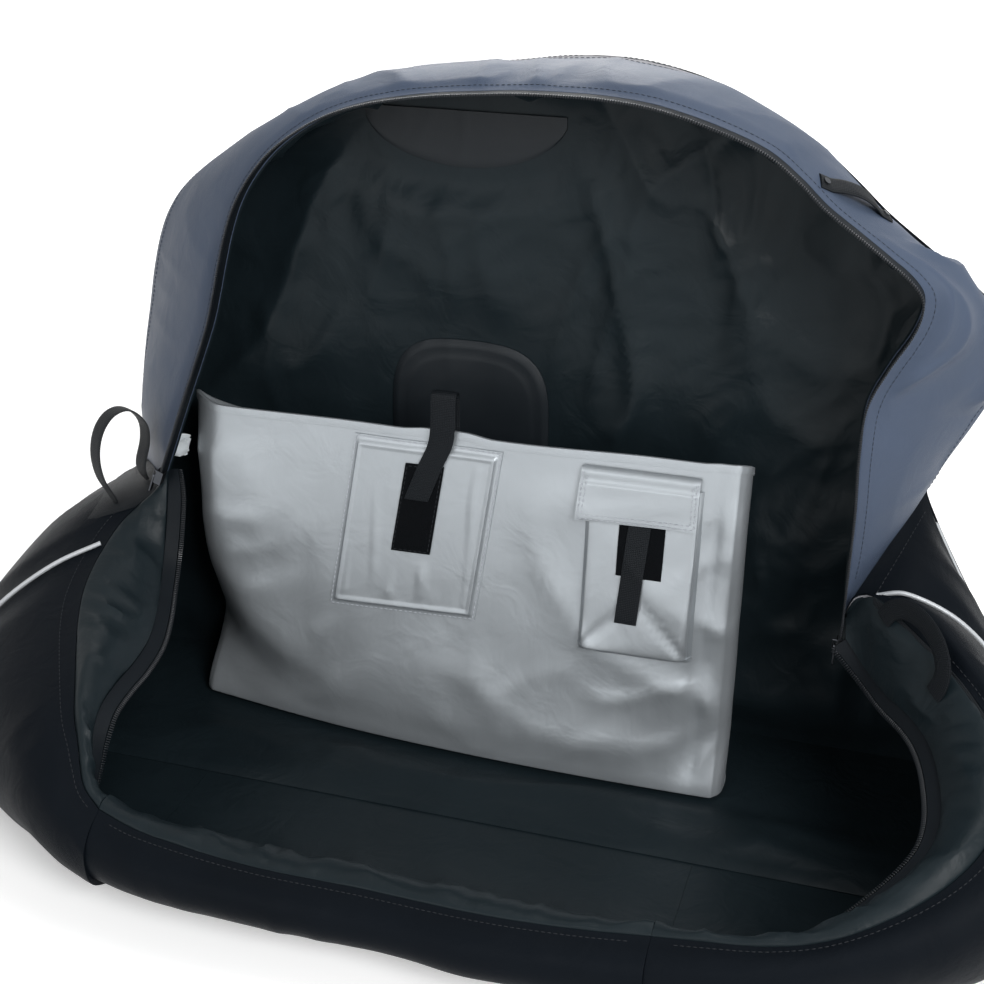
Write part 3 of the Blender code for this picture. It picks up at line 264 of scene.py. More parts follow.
def stitches(name, lines, normals, finish, body="bag", bend=None):
    # A row of sewn stitches, each a small rounded bar pressed into the cloth
    bpy.ops.object.select_all(action="DESELECT")
    bpy.ops.mesh.primitive_uv_sphere_add(segments=6, ring_count=4, radius=1)
    single = bpy.context.object
    radius = threadSizes["radius"]
    single.data.transform(Matrix.Rotation(math.pi / 2, 4, "Y"))
    single.data.transform(Matrix.Diagonal((threadSizes["length"] / 2, radius * 1.4, radius, 1)))
    places = []
    for line, normal in zip(lines, normals):
        normal = np.broadcast_to(np.asarray(normal, float), np.shape(line))
        places += placesAlong(line, normal, threadSizes["pitch"])
    dress(copied(name, single, places, finish), (), body, bend)

# Finishes
finishes = {
    "outer": {"colour": (0.0046, 0.0064, 0.0090), "rough": 0.44, "thread": 0.0011,
              "depth": 0.35, "shine": 0.03},
    "lining": {"colour": (0.0088, 0.0142, 0.0174), "rough": 0.36, "thread": 0.0009,
               "depth": 0.22, "shine": 0.11},
    "gusset": {"colour": (0.058, 0.078, 0.120), "rough": 0.48, "thread": 0.0010,
               "depth": 0.26, "shine": 0.14},
    "silver": {"colour": (0.368, 0.398, 0.424), "rough": 0.39, "thread": 0.0008,
               "depth": 0.14, "shine": 0.35, "metallic": 0.55},
    "webbing": {"colour": (0.0046, 0.0064, 0.0086), "rough": 0.58, "thread": 0.0021,
                "depth": 0.80, "shine": 0.16},
    "tape": {"colour": (0.0050, 0.0072, 0.0098), "rough": 0.60, "thread": 0.0013,
             "depth": 0.45, "shine": 0.12},
    "hook": {"colour": (0.0026, 0.0034, 0.0046), "rough": 0.85, "thread": 0.0012,
             "depth": 0.9, "shine": 0.08},
    "label": {"colour": (0.72, 0.77, 0.80), "rough": 0.55, "thread": 0.0006,
              "depth": 0.12, "shine": 0.30},
}

def nodeTree(name, colour, rough, metallic=0.0, shine=0.5):
    material = bpy.data.materials.new(name)
    material.use_nodes = True
    tree = material.node_tree
    shader = tree.nodes["Principled BSDF"]
    shader.inputs["Base Color"].default_value = (*colour, 1)
    shader.inputs["Roughness"].default_value = rough
    shader.inputs["Metallic"].default_value = metallic
    shader.inputs["Specular IOR Level"].default_value = shine
    return material, tree, shader

def addNode(tree, kind, settings=None, **values):
    node = tree.nodes.new(kind)
    for key, value in (settings or {}).items():
        setattr(node, key, value)
    for key, value in values.items():
        node.inputs[key.replace("_", " ")].default_value = value
    return node

def ranged(tree, source, settings=None, **ends):
    node = addNode(tree, "ShaderNodeMapRange", settings, **ends)
    tree.links.new(source, node.inputs["Value"])
    return node.outputs["Result"]

def painted(tree, shader, colour, share):
    paint = addNode(tree, "ShaderNodeVectorMath", {"operation": "SCALE"})
    paint.inputs[0].default_value = colour
    tree.links.new(share, paint.inputs["Scale"])
    tree.links.new(paint.outputs["Vector"], shader.inputs["Base Color"])

def clothFinish(name, look, mottle=0.12, crush=0.25, crushSize=38.0):
    # Woven cloth: crossed threads, slow changes of tone, and small crushed wrinkles
    rough = look["rough"]
    material, tree, shader = nodeTree(name, look["colour"], rough, look.get("metallic", 0.0), look["shine"])
    link = tree.links.new
    uv = addNode(tree, "ShaderNodeUVMap")
    weave = addNode(tree, "ShaderNodeMath", {"operation": "MULTIPLY"})
    for side, direction in enumerate("XY"):
        band = addNode(tree, "ShaderNodeTexWave", {"bands_direction": direction},
                       Scale=0.31416 / look["thread"], Distortion=0.6, Detail_Scale=2.0)
        link(uv.outputs["UV"], band.inputs["Vector"])
        link(band.outputs["Fac"], weave.inputs[side])
    place = addNode(tree, "ShaderNodeTexCoord")
    slow = addNode(tree, "ShaderNodeTexNoise", Scale=5.5, Detail=4.0, Roughness=0.6)
    link(place.outputs["Object"], slow.inputs["Vector"])
    slow = slow.outputs["Fac"]
    shade = addNode(tree, "ShaderNodeMath", {"operation": "MULTIPLY"})
    link(ranged(tree, slow, From_Min=0.3, From_Max=0.7, To_Min=1 - mottle, To_Max=1 + mottle),
         shade.inputs[0])
    link(ranged(tree, weave.outputs["Value"], To_Min=0.86, To_Max=1.08), shade.inputs[1])
    painted(tree, shader, look["colour"], shade.outputs["Value"])
    link(ranged(tree, slow, From_Min=0.3, From_Max=0.7, To_Min=rough - 0.07, To_Max=rough + 0.07),
         shader.inputs["Roughness"])
    crushed = addNode(tree, "ShaderNodeTexNoise", Scale=crushSize, Detail=3.0, Roughness=0.55, Distortion=0.8)
    link(place.outputs["Object"], crushed.inputs["Vector"])
    wrinkle = addNode(tree, "ShaderNodeBump", Strength=crush, Distance=0.004)
    link(crushed.outputs["Fac"], wrinkle.inputs["Height"])
    woven = addNode(tree, "ShaderNodeBump", Strength=look["depth"], Distance=look["thread"] * 0.3)
    link(weave.outputs["Value"], woven.inputs["Height"])
    link(wrinkle.outputs["Normal"], woven.inputs["Normal"])
    link(woven.outputs["Normal"], shader.inputs["Normal"])
    return material

def grainFinish(name, colour, rough, size, depth, metallic=0.0, stretch=(1, 1, 1), coat=0.0, shine=0.5):
    # Moulded, foamed or brushed surfaces: a fine grain on the piece's own place
    material, tree, shader = nodeTree(name, colour, rough, metallic, shine)
    link = tree.links.new
    place = addNode(tree, "ShaderNodeTexCoord")
    mapping = addNode(tree, "ShaderNodeMapping", Scale=stretch)
    link(place.outputs["Object"], mapping.inputs["Vector"])
    grain = addNode(tree, "ShaderNodeTexNoise", Scale=size, Detail=3.0, Roughness=0.6)
    link(mapping.outputs["Vector"], grain.inputs["Vector"])
    grain = grain.outputs["Fac"]
    painted(tree, shader, colour, ranged(tree, grain, To_Min=0.82, To_Max=1.15))
    link(ranged(tree, grain, To_Min=max(rough - 0.12, 0.05), To_Max=rough + 0.12), shader.inputs["Roughness"])
    bump = addNode(tree, "ShaderNodeBump", Strength=depth, Distance=0.0004)
    link(grain, bump.inputs["Height"])
    link(bump.outputs["Normal"], shader.inputs["Normal"])
    shader.inputs["Coat Weight"].default_value = coat
    return material

outerCloth = clothFinish("outerCloth", finishes["outer"], crush=0.30, crushSize=30.0)
liningCloth = clothFinish("liningCloth", finishes["lining"], crush=0.55, crushSize=20.0)
gussetCloth = clothFinish("gussetCloth", finishes["gusset"], mottle=0.09, crush=0.26, crushSize=24.0)
silverCloth = clothFinish("silverCloth", finishes["silver"], mottle=0.06, crush=0.30, crushSize=17.0)
webbingCloth = clothFinish("webbingCloth", finishes["webbing"], crush=0.05)
tapeCloth = clothFinish("tapeCloth", finishes["tape"], crush=0.05)
hookCloth = clothFinish("hookCloth", finishes["hook"], crush=0.6, crushSize=900.0)
labelCloth = clothFinish("labelCloth", finishes["label"], mottle=0.04, crush=0.05)
foamBlock = grainFinish("foamBlock", (0.25, 0.25, 0.27), 0.9, 700, 0.6)
boardPlastic = grainFinish("boardPlastic", (0.05, 0.05, 0.05), 0.5, 900, 0.3)
zipPlastic = grainFinish("zipPlastic", (0.010, 0.012, 0.015), 0.35, 400, 0.1, shine=0.35)
zipMetal = grainFinish("zipMetal", (0.075, 0.080, 0.090), 0.34, 500, 0.25, 1.0, (1, 1, 8))
reflectiveCover = grainFinish("reflectiveCover", (0.44, 0.46, 0.48), 0.40, 1500, 0.5, 0.2, coat=0.1)
patchRubber = grainFinish("patchRubber", (0.0085, 0.0115, 0.0145), 0.44, 1100, 0.6, shine=0.2)
silverThread = grainFinish("silverThread", (0.40, 0.42, 0.46), 0.6, 2500, 0.4)
blackThread = grainFinish("blackThread", (0.011, 0.013, 0.016), 0.6, 2500, 0.4, shine=0.2)
greyThread = grainFinish("greyThread", (0.030, 0.038, 0.055), 0.6, 2500, 0.4, shine=0.2)
print("stage: finishes")

# Key lines of the lower shell, from the left end's back edge round the slumped front to the right
# end's: floor bulge, shoulder, seam and zip edge, in half lengths, depths and heights
shellLines = {
    "left": [
        ((-1.118, 1.0, 0.0), (-0.941, 1.0, 0.253), (-0.743, 1.0, 0.341), (-0.735, 1.0, 0.388)),
        ((-1.118, 0.42, 0.0), (-0.948, 0.42, 0.288), (-0.669, 0.42, 0.367), (-0.647, 0.42, 0.412)),
        ((-1.118, 0.0, 0.0), (-0.941, 0.0, 0.318), (-0.607, 0.0, 0.379), (-0.594, 0.0, 0.406)),
        ((-1.096, -0.90, 0.0), (-0.882, -0.90, 0.294), (-0.662, -0.31, 0.335), (-0.576, -0.34, 0.291)),
        ((-1.015, -1.35, 0.0), (-0.824, -1.38, 0.235), (-0.654, -1.02, 0.288), (-0.524, -1.05, 0.238)),
        ((-0.801, -1.67, 0.0), (-0.691, -1.72, 0.224), (-0.566, -1.45, 0.241), (-0.512, -1.47, 0.224)),
        ((-0.632, -1.92, 0.0), (-0.574, -1.90, 0.194), (-0.515, -1.65, 0.206), (-0.491, -1.65, 0.176)),
    ],
    "right": [
        ((0.647, -1.98, 0.0), (0.691, -1.95, 0.176), (0.684, -1.78, 0.162), (0.618, -1.74, 0.127)),
        ((0.882, -1.80, 0.0), (0.941, -1.72, 0.247), (0.868, -1.52, 0.241), (0.801, -1.48, 0.224)),
        ((1.059, -1.38, 0.0), (1.015, -1.32, 0.318), (0.879, -1.10, 0.315), (0.787, -1.03, 0.268)),
        ((1.096, -0.90, 0.0), (0.882, -0.83, 0.471), (0.676, -0.21, 0.382), (0.676, -0.38, 0.292)),
        ((1.096, 0.0, 0.0), (0.882, 0.0, 0.447), (0.632, 0.0, 0.335), (0.632, 0.0, 0.388)),
        ((1.096, 0.42, 0.0), (0.824, 0.42, 0.406), (0.679, 0.42, 0.394), (0.679, 0.42, 0.447)),
        ((1.096, 1.0, 0.0), (0.765, 1.0, 0.353), (0.731, 1.0, 0.453), (0.735, 1.0, 0.506)),
    ],
    "front": [
        (-1.0, (-2.083, 0.0), (-2.00, 0.129), (-1.817, 0.151), (-1.723, 0.132)),
        (-0.5, (-2.133, 0.0), (-2.03, 0.118), (-1.867, 0.129), (-1.690, 0.104)),
        (0.0, (-2.117, 0.0), (-2.02, 0.108), (-1.850, 0.122), (-1.667, 0.094)),
        (0.5, (-2.133, 0.0), (-2.03, 0.113), (-1.863, 0.125), (-1.683, 0.096)),
        (1.0, (-2.083, 0.0), (-1.98, 0.124), (-1.823, 0.132), (-1.733, 0.108)),
    ],
    "gussetBulge": 0.006,
    "seamGap": 0.0008,
}

def placed(x, y, z):
    depth = min(y * halfDepth, seamY) if y >= -1 else -halfDepth + (y + 1) * bagSizes["frontReach"]
    return np.array([x * halfLength, depth, z * bagHeight])

def footPoints(sign):
    footX, corner = bagSizes["footHalfX"], bagSizes["footCorner"]
    feet = [np.array([sign * footX, min(share * halfDepth, seamY), 0.0]) for share in (1.0, 0.42, 0.0)]
    feet.append(np.array([sign * footX, -(halfDepth - corner) * 0.7, 0.0]))
    turn = corner * math.sqrt(0.5)
    feet.append(np.array([sign * (footX - corner + turn), corner - halfDepth - turn, 0.0]))
    feet += [np.array([sign * footX * share, -halfDepth, 0.0]) for share in (0.82, 0.65)]
    return feet

def lowerShell():
    lines = [[foot] + [placed(*share) for share in shares]
             for foot, shares in zip(footPoints(-1), shellLines["left"])]
    for across, *shares in shellLines["front"]:
        x = across * bagSizes["frontSplit"]
        line = [np.array([x, -halfDepth, 0.0])] + [placed(0, *share) for share in shares]
        for point in line[1:]:
            point[0] = x
        lines.append(line)
    lines += [[foot] + [placed(*share) for share in shares]
              for foot, shares in zip(reversed(footPoints(1)), shellLines["right"])]
    lines = np.array(lines)
    control = np.stack([splineThrough(lines[:, k], spanSteps) for k in range(5)], axis=1)
    control[..., 2] = np.maximum(control[..., 2], 0)
    rows = []
    for step in range(wallSteps + 1):
        t = step / wallSteps
        rows.append((1 - t) ** 3 * control[:, 0] + 3 * t * (1 - t) ** 2 * control[:, 1]
                    + 3 * t ** 2 * (1 - t) * control[:, 2] + t ** 3 * control[:, 3])
    for step in range(1, gussetSteps + 1):
        t = step / gussetSteps
        row = (1 - t) * control[:, 3] + t * control[:, 4]
        row[:, 2] += shellLines["gussetBulge"] * math.sin(math.pi * t)
        rows.append(row)
    return np.stack(rows, axis=1)

lower = lowerShell()
leftPinch = 2 * spanSteps
leftCut = 7 * spanSteps
rightCut = leftCut + 4 * spanSteps
rightEnd = len(lower) - 1
rightPinch = rightEnd - 2 * spanSteps
lowerNormals = gridNormals(lower)
if lowerNormals[leftPinch, 2, 0] > 0:
    lowerNormals = -lowerNormals
for turn in range(2):
    lowerNormals[1:-1] = unit(lowerNormals[:-2] + 2 * lowerNormals[1:-1] + lowerNormals[2:])
lowerNormals[[0, rightEnd], :, 1] = 0
lowerNormals[[leftCut, rightCut], :, 0] = 0
lowerNormals[:, 0] = (0, 0, -1)
lowerNormals = unit(lowerNormals)

# Back wall outline and the zip edge over it, in pairs from the left waist to the right one
archLine = {
    "pairs": [
        ((-0.737, 0.471), (-0.543, 0.511)), ((-0.706, 0.600), (-0.479, 0.641)), ((-0.671, 0.712), (-0.449, 0.729)),
        ((-0.612, 0.789), (-0.413, 0.814)), ((-0.488, 0.859), (-0.346, 0.887)), ((-0.329, 0.929), (-0.243, 0.941)),
        ((-0.160, 0.971), (-0.125, 0.967)), ((0.0, 0.988), (0.0, 0.979)), ((0.160, 1.000), (0.125, 0.984)),
        ((0.329, 0.976), (0.279, 0.976)), ((0.500, 0.905), (0.446, 0.933)), ((0.619, 0.825), (0.543, 0.871)),
        ((0.721, 0.765), (0.640, 0.816)), ((0.801, 0.715), (0.694, 0.776)), ((0.841, 0.659), (0.685, 0.724)),
        ((0.806, 0.580), (0.632, 0.629)), ((0.765, 0.512), (0.632, 0.482)),
    ],
    "bulge": 0.012,
    "waistGap": 0.0012,
}

def archGrid():
    first = lower[:leftPinch + 1, wallSteps]
    last = lower[rightPinch:, wallSteps][::-1]
    backKeys, zipKeys = [first[0]], [first[-1]]
    for back, zipEdge in archLine["pairs"]:
        backKeys.append(np.array([back[0] * halfLength, seamY, back[1] * bagHeight]))
        zipKeys.append(np.array([zipEdge[0] * halfLength, 0.0, zipEdge[1] * bagHeight]))
    backLine = splineThrough(backKeys + [last[0]], archSteps)
    zipLine = splineThrough(zipKeys + [last[-1]], archSteps)
    away = unit(backLine - np.array([0.0, seamY, bagHeight / 2]))
    grid = np.empty((len(backLine), leftPinch + 1, 3))
    for row, share in enumerate((seamY - first[:, 1]) / seamY):
        grid[:, row] = (backLine * (1 - share) + zipLine * share
                        + away * archLine["bulge"] * math.sin(math.pi * share))
    grid[0], grid[-1] = first, last
    return grid

arch = archGrid()
archNormals = gridNormals(arch)
if archNormals[len(arch) // 2, 2, 2] < 0:
    archNormals = -archNormals
archNormals[0] = lowerNormals[:leftPinch + 1, wallSteps]
archNormals[-1] = lowerNormals[rightPinch:, wallSteps][::-1]
archNormals[:, [0, -1], 1] = 0
archNormals = unit(archNormals)
archPart = arch.copy()
archPart[0] += unit(arch[1] - arch[0]) * archLine["waistGap"]
archPart[-1] += unit(arch[-2] - arch[-1]) * archLine["waistGap"]

# Walls of the lower shell: cloth outside, foam, and the lining, each as its own sheet
wallLook = {"detail": 5, "slowSize": 0.16, "foldDepth": 0.008, "liningDepth": 0.021, "stitchRow": 3,
            "folds": [(0.16, 2.4, 62, 11, 1), (0.16 * 0.35, 2.0, 110, 12, 0.35)],
            "liningFolds": [(0.085, 2.6, 78, 21, 0.55), (0.085 * 0.6, 2.2, 35, 22, 0.3),
                            (0.085 * 0.3, 2.0, 120, 23, 0.15)]}
foamRows = np.full((1, wallSteps + 1, 1), layers["foam"])
foamRows[0, -2] = (layers["foam"] + layers["foamSeam"]) / 2
foamRows[0, -1] = layers["foamSeam"]
foamNear = layers["skin"] + gap

def columnsOf(first, last, shiftFirst=0.0, shiftLast=0.0):
    part = lower[first:last + 1].copy()
    part[0, :, 0] += shiftFirst
    part[-1, :, 0] += shiftLast
    return part, lowerNormals[first:last + 1]

def wallPieces(side, first, last, shifts, bend, body):
    part, normals = columnsOf(first, last, *shifts)
    part, normals = part[:, :wallSteps + 1], normals[:, :wallSteps + 1]
    detail = wallLook["detail"]
    fine = refined(part, detail, detail)
    fineNormals = unit(refined(normals, detail, detail))
    foam = refined(np.broadcast_to(foamRows, part.shape[:2] + (1,)), detail, detail)
    flat = walked(fine)
    u = np.linspace(first, last, fine.shape[0])[:, None]
    v = np.linspace(0, wallSteps, fine.shape[1])[None, :]
    keep = between(v, 0.3, 2.5, wallSteps - 2.2, wallSteps - 0.2)
    for pinch in (leftPinch + 4, rightPinch + 1):
        keep = keep * smooth(np.abs(u - pinch), 0.4, 1.8)
    keep = keep * smooth(u, 0.2, 1.5) * (1 - smooth(u, rightEnd - 1.5, rightEnd - 0.2))
    slow = softNoise(fine, wallLook["slowSize"], 3) * 0.5 + 0.5
    ridges = creased(flat, wallLook["folds"])
    puff = keep * wallLook["foldDepth"] * (0.9 * slow + 0.7 * ridges)
    outside = fine + fineNormals * puff[..., None]
    skin = shaped(side + "Skin", outside, fine - fineNormals * layers["skin"], outerCloth, flat)
    dress(skin, [nodeNames[side] + "_skin"], body, bend)
    far = foamNear + foam
    coarse = slice(None, None, 2)
    padding = shaped(side + "Foam", (fine - fineNormals * foamNear)[coarse, coarse],
                     (fine - fineNormals * far)[coarse, coarse], foamBlock)
    dress(padding, [nodeNames[side] + "_foam"], body, bend)
    near = far + gap
    inner = near + layers["lining"]
    crumple = creased(flat, wallLook["liningFolds"])
    edge = between(v, 0.5, 2.0, wallSteps - 1.6, wallSteps)
    ends = between(u, first, first + 1.5, last - 1.5, last)
    puff = edge * ends * wallLook["liningDepth"] * crumple
    inside = fine - fineNormals * (inner + puff[..., None])
    lining = shaped(side + "Lining", fine - fineNormals * (near + 0.8 * puff[..., None]), inside,
                    liningCloth, flat)
    dress(lining, [nodeNames[side] + "_lining"], body, bend)
    # Sewn lines beside the seam that joins the wall to the gusset
    row = fine.shape[1] - wallLook["stitchRow"]
    up = fineNormals[2:-2, row]
    stitches(side + "SeamStitches", [outside[2:-2, row] + up * 0.0003], [up], blackThread,
             body, bend)

nodeNames = {"leftEnd": "left_end", "front": "front", "rightEnd": "right_end"}
wallPieces("leftEnd", 0, leftCut, (0.0, -gap), -1, "bag")
wallPieces("front", leftCut, rightCut, (0.0, 0.0), None, "front_half")
wallPieces("rightEnd", rightCut, rightEnd, (gap, 0.0), 1, "bag")
print("stage: padded walls")

# Near half of the gusset: a padded lip from the wall's seam to the zip
lipLook = {"detail": 6, "puff": 0.009, "foldDepth": 0.007,
           "folds": [(0.034, 0.8, 4, 31, 0.65), (0.034 * 2, 1.0, 12, 32, 0.5)],
           "rightEnd": (0.434, -0.030, 0.268)}

def nearColumns(first, last, shifts):
    # The near half runs on to the sliders, where both halves of the zip meet
    part, normals = columnsOf(first, last, *shifts)
    if last == rightPinch - 3:
        corner = part[-1].copy()
        end = np.array(lipLook["rightEnd"])
        for row in range(wallSteps, part.shape[1]):
            share = (row - wallSteps) / gussetSteps
            corner[row] = lower[rightPinch - 1, wallSteps] * (1 - share) + end * share
        part = np.concatenate([part, [corner]])
        normals = np.concatenate([normals, normals[-1:]])
    return part, normals

def nearLip(name, node, first, last, shifts, bend, body):
    part, normals = nearColumns(first, last, shifts)
    rows = part[:, wallSteps:].copy()
    rows[:, 0] += unit(rows[:, 1] - rows[:, 0]) * shellLines["seamGap"]
    fine = refined(rows, lipLook["detail"], lipLook["detail"] * 2)
    fineNormals = unit(refined(normals[:, wallSteps:], lipLook["detail"], lipLook["detail"] * 2))
    flat = walked(fine)
    u = np.linspace(first, first + len(part) - 1, fine.shape[0])[:, None]
    v = np.linspace(0, 1, fine.shape[1])[None, :]
    full = between(u, leftPinch, leftPinch + 2.5, rightPinch - 4.5, rightPinch - 2)
    roll = np.sin(math.pi * v) ** 0.7 * full
    ridges = creased(flat, lipLook["folds"]) * roll
    outside = fine + fineNormals * (roll * lipLook["puff"] * 0.5 + ridges * lipLook["foldDepth"])[..., None]
    depth = layers["gusset"] * (0.5 + 0.5 * full) + roll * lipLook["puff"] + ridges * lipLook["foldDepth"]
    inside = fine - fineNormals * depth[..., None]
    lip = shaped(name, outside, inside, liningCloth, flat)
    dress(lip, [node], body, bend)

nearLip("leftNearLip", "left_near_gusset", leftPinch, leftCut, (0.0, -gap), -1, "bag")
nearLip("frontNearLip", "front_near_gusset", leftCut, rightCut, (0.0, 0.0), None, "front_half")
nearLip("rightNearLip", "right_near_gusset", rightCut, rightPinch - 3, (gap, 0.0), 1, "bag")
print("stage: near lips")

# Far gusset: blue-grey cloth over the top, and its black lining
gussetLook = {"detail": 8, "slow": 0.20, "slowDepth": 0.004, "foldDepth": 0.0035, "kneeDepth": 0.013,
              "kneeSpan": (24.9, 26.2, 31.0, 32.5), "kneeFold": (0.060, 3.0, 25, 44),
              "grabCalm": (23.8, 3.6, 1.4, 2.6), "liningDepth": 0.024,
              "folds": [(0.10, 2.6, 70, 42, 1), (0.045, 2.2, 100, 43, 0.45)],
              "liningFolds": [(0.095, 2.6, 84, 51, 0.6), (0.095 * 0.5, 2.0, 40, 52, 0.4)]}
archTall = arch.shape[1] - 1

def farGusset():
    detail = gussetLook["detail"]
    fine = refined(archPart, detail, detail)
    fineNormals = unit(refined(archNormals, detail, detail))
    flat = walked(fine)
    u = np.linspace(0, len(arch) - 1, fine.shape[0])[:, None]
    v = np.linspace(0, archTall, fine.shape[1])[None, :]
    edge = between(v, 0.05, 0.9, archTall - 1.2, archTall - 0.2)
    edge = edge * smooth(u, 0.2, 1.5) * (1 - smooth(u, len(arch) - 2.5, len(arch) - 1.2))
    calmU, calmV, calmWide, calmTall = gussetLook["grabCalm"]
    edge = edge * smooth(np.hypot((u - calmU) / calmWide, (v - calmV) / calmTall), 0.9, 1.3)
    slow = softNoise(flat, gussetLook["slow"], 41) * gussetLook["slowDepth"]
    ridges = creased(flat, gussetLook["folds"]) * gussetLook["foldDepth"]
    knee = between(u, *gussetLook["kneeSpan"])
    ridges = ridges + folds(flat, *gussetLook["kneeFold"]) * knee * gussetLook["kneeDepth"]
    puff = edge * (slow + ridges)
    outside = fine + fineNormals * puff[..., None]
    skin = shaped("farGusset", outside, outside - fineNormals * layers["skin"], gussetCloth, flat)
    dress(skin, ["far_gusset"])
    for name, row in (("Back", 3), ("Zip", fine.shape[1] - 5)):
        line = outside[4:-4, row] + fineNormals[4:-4, row] * 0.0003
        stitches("gusset" + name + "Stitches", [line], [fineNormals[4:-4, row]], greyThread)
    near = foamNear
    far = near + layers["lining"]
    crumple = creased(flat, gussetLook["liningFolds"])
    puff = np.minimum(puff, 0) - edge * gussetLook["liningDepth"] * crumple
    inside = fine - fineNormals * far + fineNormals * puff[..., None]
    lining = shaped("farGussetLining", fine - fineNormals * near + fineNormals * puff[..., None] * 0.85,
                    inside, liningCloth, flat)
    dress(lining, ["far_gusset_lining"])

farGusset()
print("stage: far gusset")

# Zip: woven tapes with a row of teeth on each edge
zipLook = {"tapeWidth": 0.016, "tapeThick": 0.0012, "coilRadius": 0.003, "start": 0.008, "tail": 0.055,
           "pitch": 0.0027, "tooth": (0.0016, 0.0056, 0.0026), "toothEdge": 0.00045, "margin": 0.001}
towardMouth = np.array([0.0, -1.0, 0.0])

def teeth(name, node, line, normals, body, bend):
    bpy.ops.object.select_all(action="DESELECT")
    bpy.ops.mesh.primitive_cube_add(size=1)
    single = bpy.context.object
    single.scale = zipLook["tooth"]
    bpy.ops.object.transform_apply(scale=True)
    bpy.ops.object.mode_set(mode="EDIT")
    bpy.ops.mesh.select_all(action="SELECT")
    bpy.ops.mesh.bevel(offset=zipLook["toothEdge"], segments=1)
    bpy.ops.object.mode_set(mode="OBJECT")
    places = placesAlong(line, normals, zipLook["pitch"], zipLook["margin"])
    dress(copied(name, single, places, zipPlastic), [node], body, bend)

def zipSide(side, nodeSide, edge, reach, normals, back, sewn, under, body="bag", bend=None):
    # A tape from its sewn edge towards the mouth, and the teeth along its free edge
    front = sewn + zipLook["tapeWidth"]
    rows = [edge + reach * (back * (1 - t) + front * t) for t in (0, 0.5, 1)]
    fine = refined(np.stack(rows, axis=1), 6, 3)
    fineNormals = unit(refined(np.stack([normals] * 3, axis=1), 6, 3))
    piece = shaped(side + "ZipTape", fine - fineNormals * under,
                   fine - fineNormals * (under + zipLook["tapeThick"]), tapeCloth)
    dress(piece, [nodeSide + "_zip_tape"], body, bend)
    coil = (edge + reach * (2 * sewn + zipLook["tapeWidth"] + zipLook["coilRadius"])
            - normals * (under + zipLook["tapeThick"] / 2))
    teeth(side + "ZipTeeth", nodeSide + "_zip_coil", splineThrough(coil, 8),
          unit(splineThrough(normals, 8)), body, bend)

def nearZip(side, nodeSide, first, last, shifts, bend, body):
    part, normals = nearColumns(first, last, shifts)
    edge = part[:, -1]
    run = unit(np.gradient(edge, axis=0))
    reach = unit(part[:, -1] - part[:, -2])
    reach = unit(reach - run * np.sum(reach * run, axis=1, keepdims=True))
    for column in (leftCut, rightCut):
        if first <= column <= last:
            reach[column - first, 0] = 0
    middle = (layers["gusset"] - zipLook["tapeThick"]) / 2
    zipSide(side, nodeSide, edge, unit(reach), normals[:, -1], shellLines["seamGap"], shellLines["seamGap"],
            middle, body, bend)

nearZip("leftNear", "left_near", leftPinch, leftCut, (0.0, -gap), -1, "bag")
nearZip("frontNear", "front", leftCut, rightCut, (0.0, 0.0), None, "front_half")
nearZip("rightNear", "right_near", rightCut, rightPinch - 3, (gap, 0.0), 1, "bag")

def trimmed(line, extra, length):
    line, extra = list(line), list(extra)
    for flip in range(2):
        left = length
        while np.linalg.norm(line[1] - line[0]) < left:
            left -= np.linalg.norm(line[1] - line[0])
            line.pop(0)
            extra.pop(0)
        share = left / np.linalg.norm(line[1] - line[0])
        line[0] = line[0] + (line[1] - line[0]) * share
        extra[0] = unit(extra[0] + (extra[1] - extra[0]) * share)
        line.reverse()
        extra.reverse()
    return np.array(line), np.array(extra)

def farZip():
    tailEnd = arch[-1, -1] + unit(arch[-1, -1] - arch[-2, -1]) * zipLook["tail"]
    line = np.concatenate([arch[:, -1], [tailEnd]])
    normals = unit(np.cross(np.gradient(line, axis=0), towardMouth))
    if normals[len(normals) // 2, 2] < 0:
        normals = -normals
    line, normals = trimmed(line, normals, zipLook["start"])
    back = np.full((len(line), 1), gap)
    back[-2:] = zipLook["tapeWidth"] / 2
    zipSide("far", "far", line, towardMouth, normals, back, gap, gap)

farZip()
bareNodes = {zipMetal: ("left_slider", "right_slider", "left_pull_tab", "right_pull_tab",
                        "grab_strap_rivet_left", "grab_strap_rivet_right"),
             boardPlastic: ("base_board", "hub_guard_plate")}
for finish, nodes in bareNodes.items():
    for node in nodes:
        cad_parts[node].data.materials.clear()
        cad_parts[node].data.materials.append(finish)
print("stage: zip")

# The rubbing pad and the bare patch that are sewn to the back lining
padLook = {"x": -0.075 * halfLength, "z": 0.475 * bagHeight, "halfX": 0.10, "halfZ": 0.105, "power": 3.2,
           "thick": 0.005}
labelLook = {"x": -0.082 * halfLength, "z": 0.922 * bagHeight, "halfX": 0.12, "drop": 0.065, "thick": 0.002,
             "calmDrop": 0.03, "calmHalfZ": 0.05}

# Back wall: cloth, foam and lining, each from the bottom edge up to the top of the arch
backLook = {"rows": 110, "columns": 170, "skinDepth": 0.010, "liningDepth": 0.034, "seamInset": 4,
            "liningFolds": [(0.125, 2.6, 66, 61, 0.45), (0.125 * 0.8, 2.4, 118, 62, 0.30),
                            (0.125 * 0.42, 2.2, 82, 63, 0.17), (0.125 * 0.22, 1.8, 30, 64, 0.08)]}

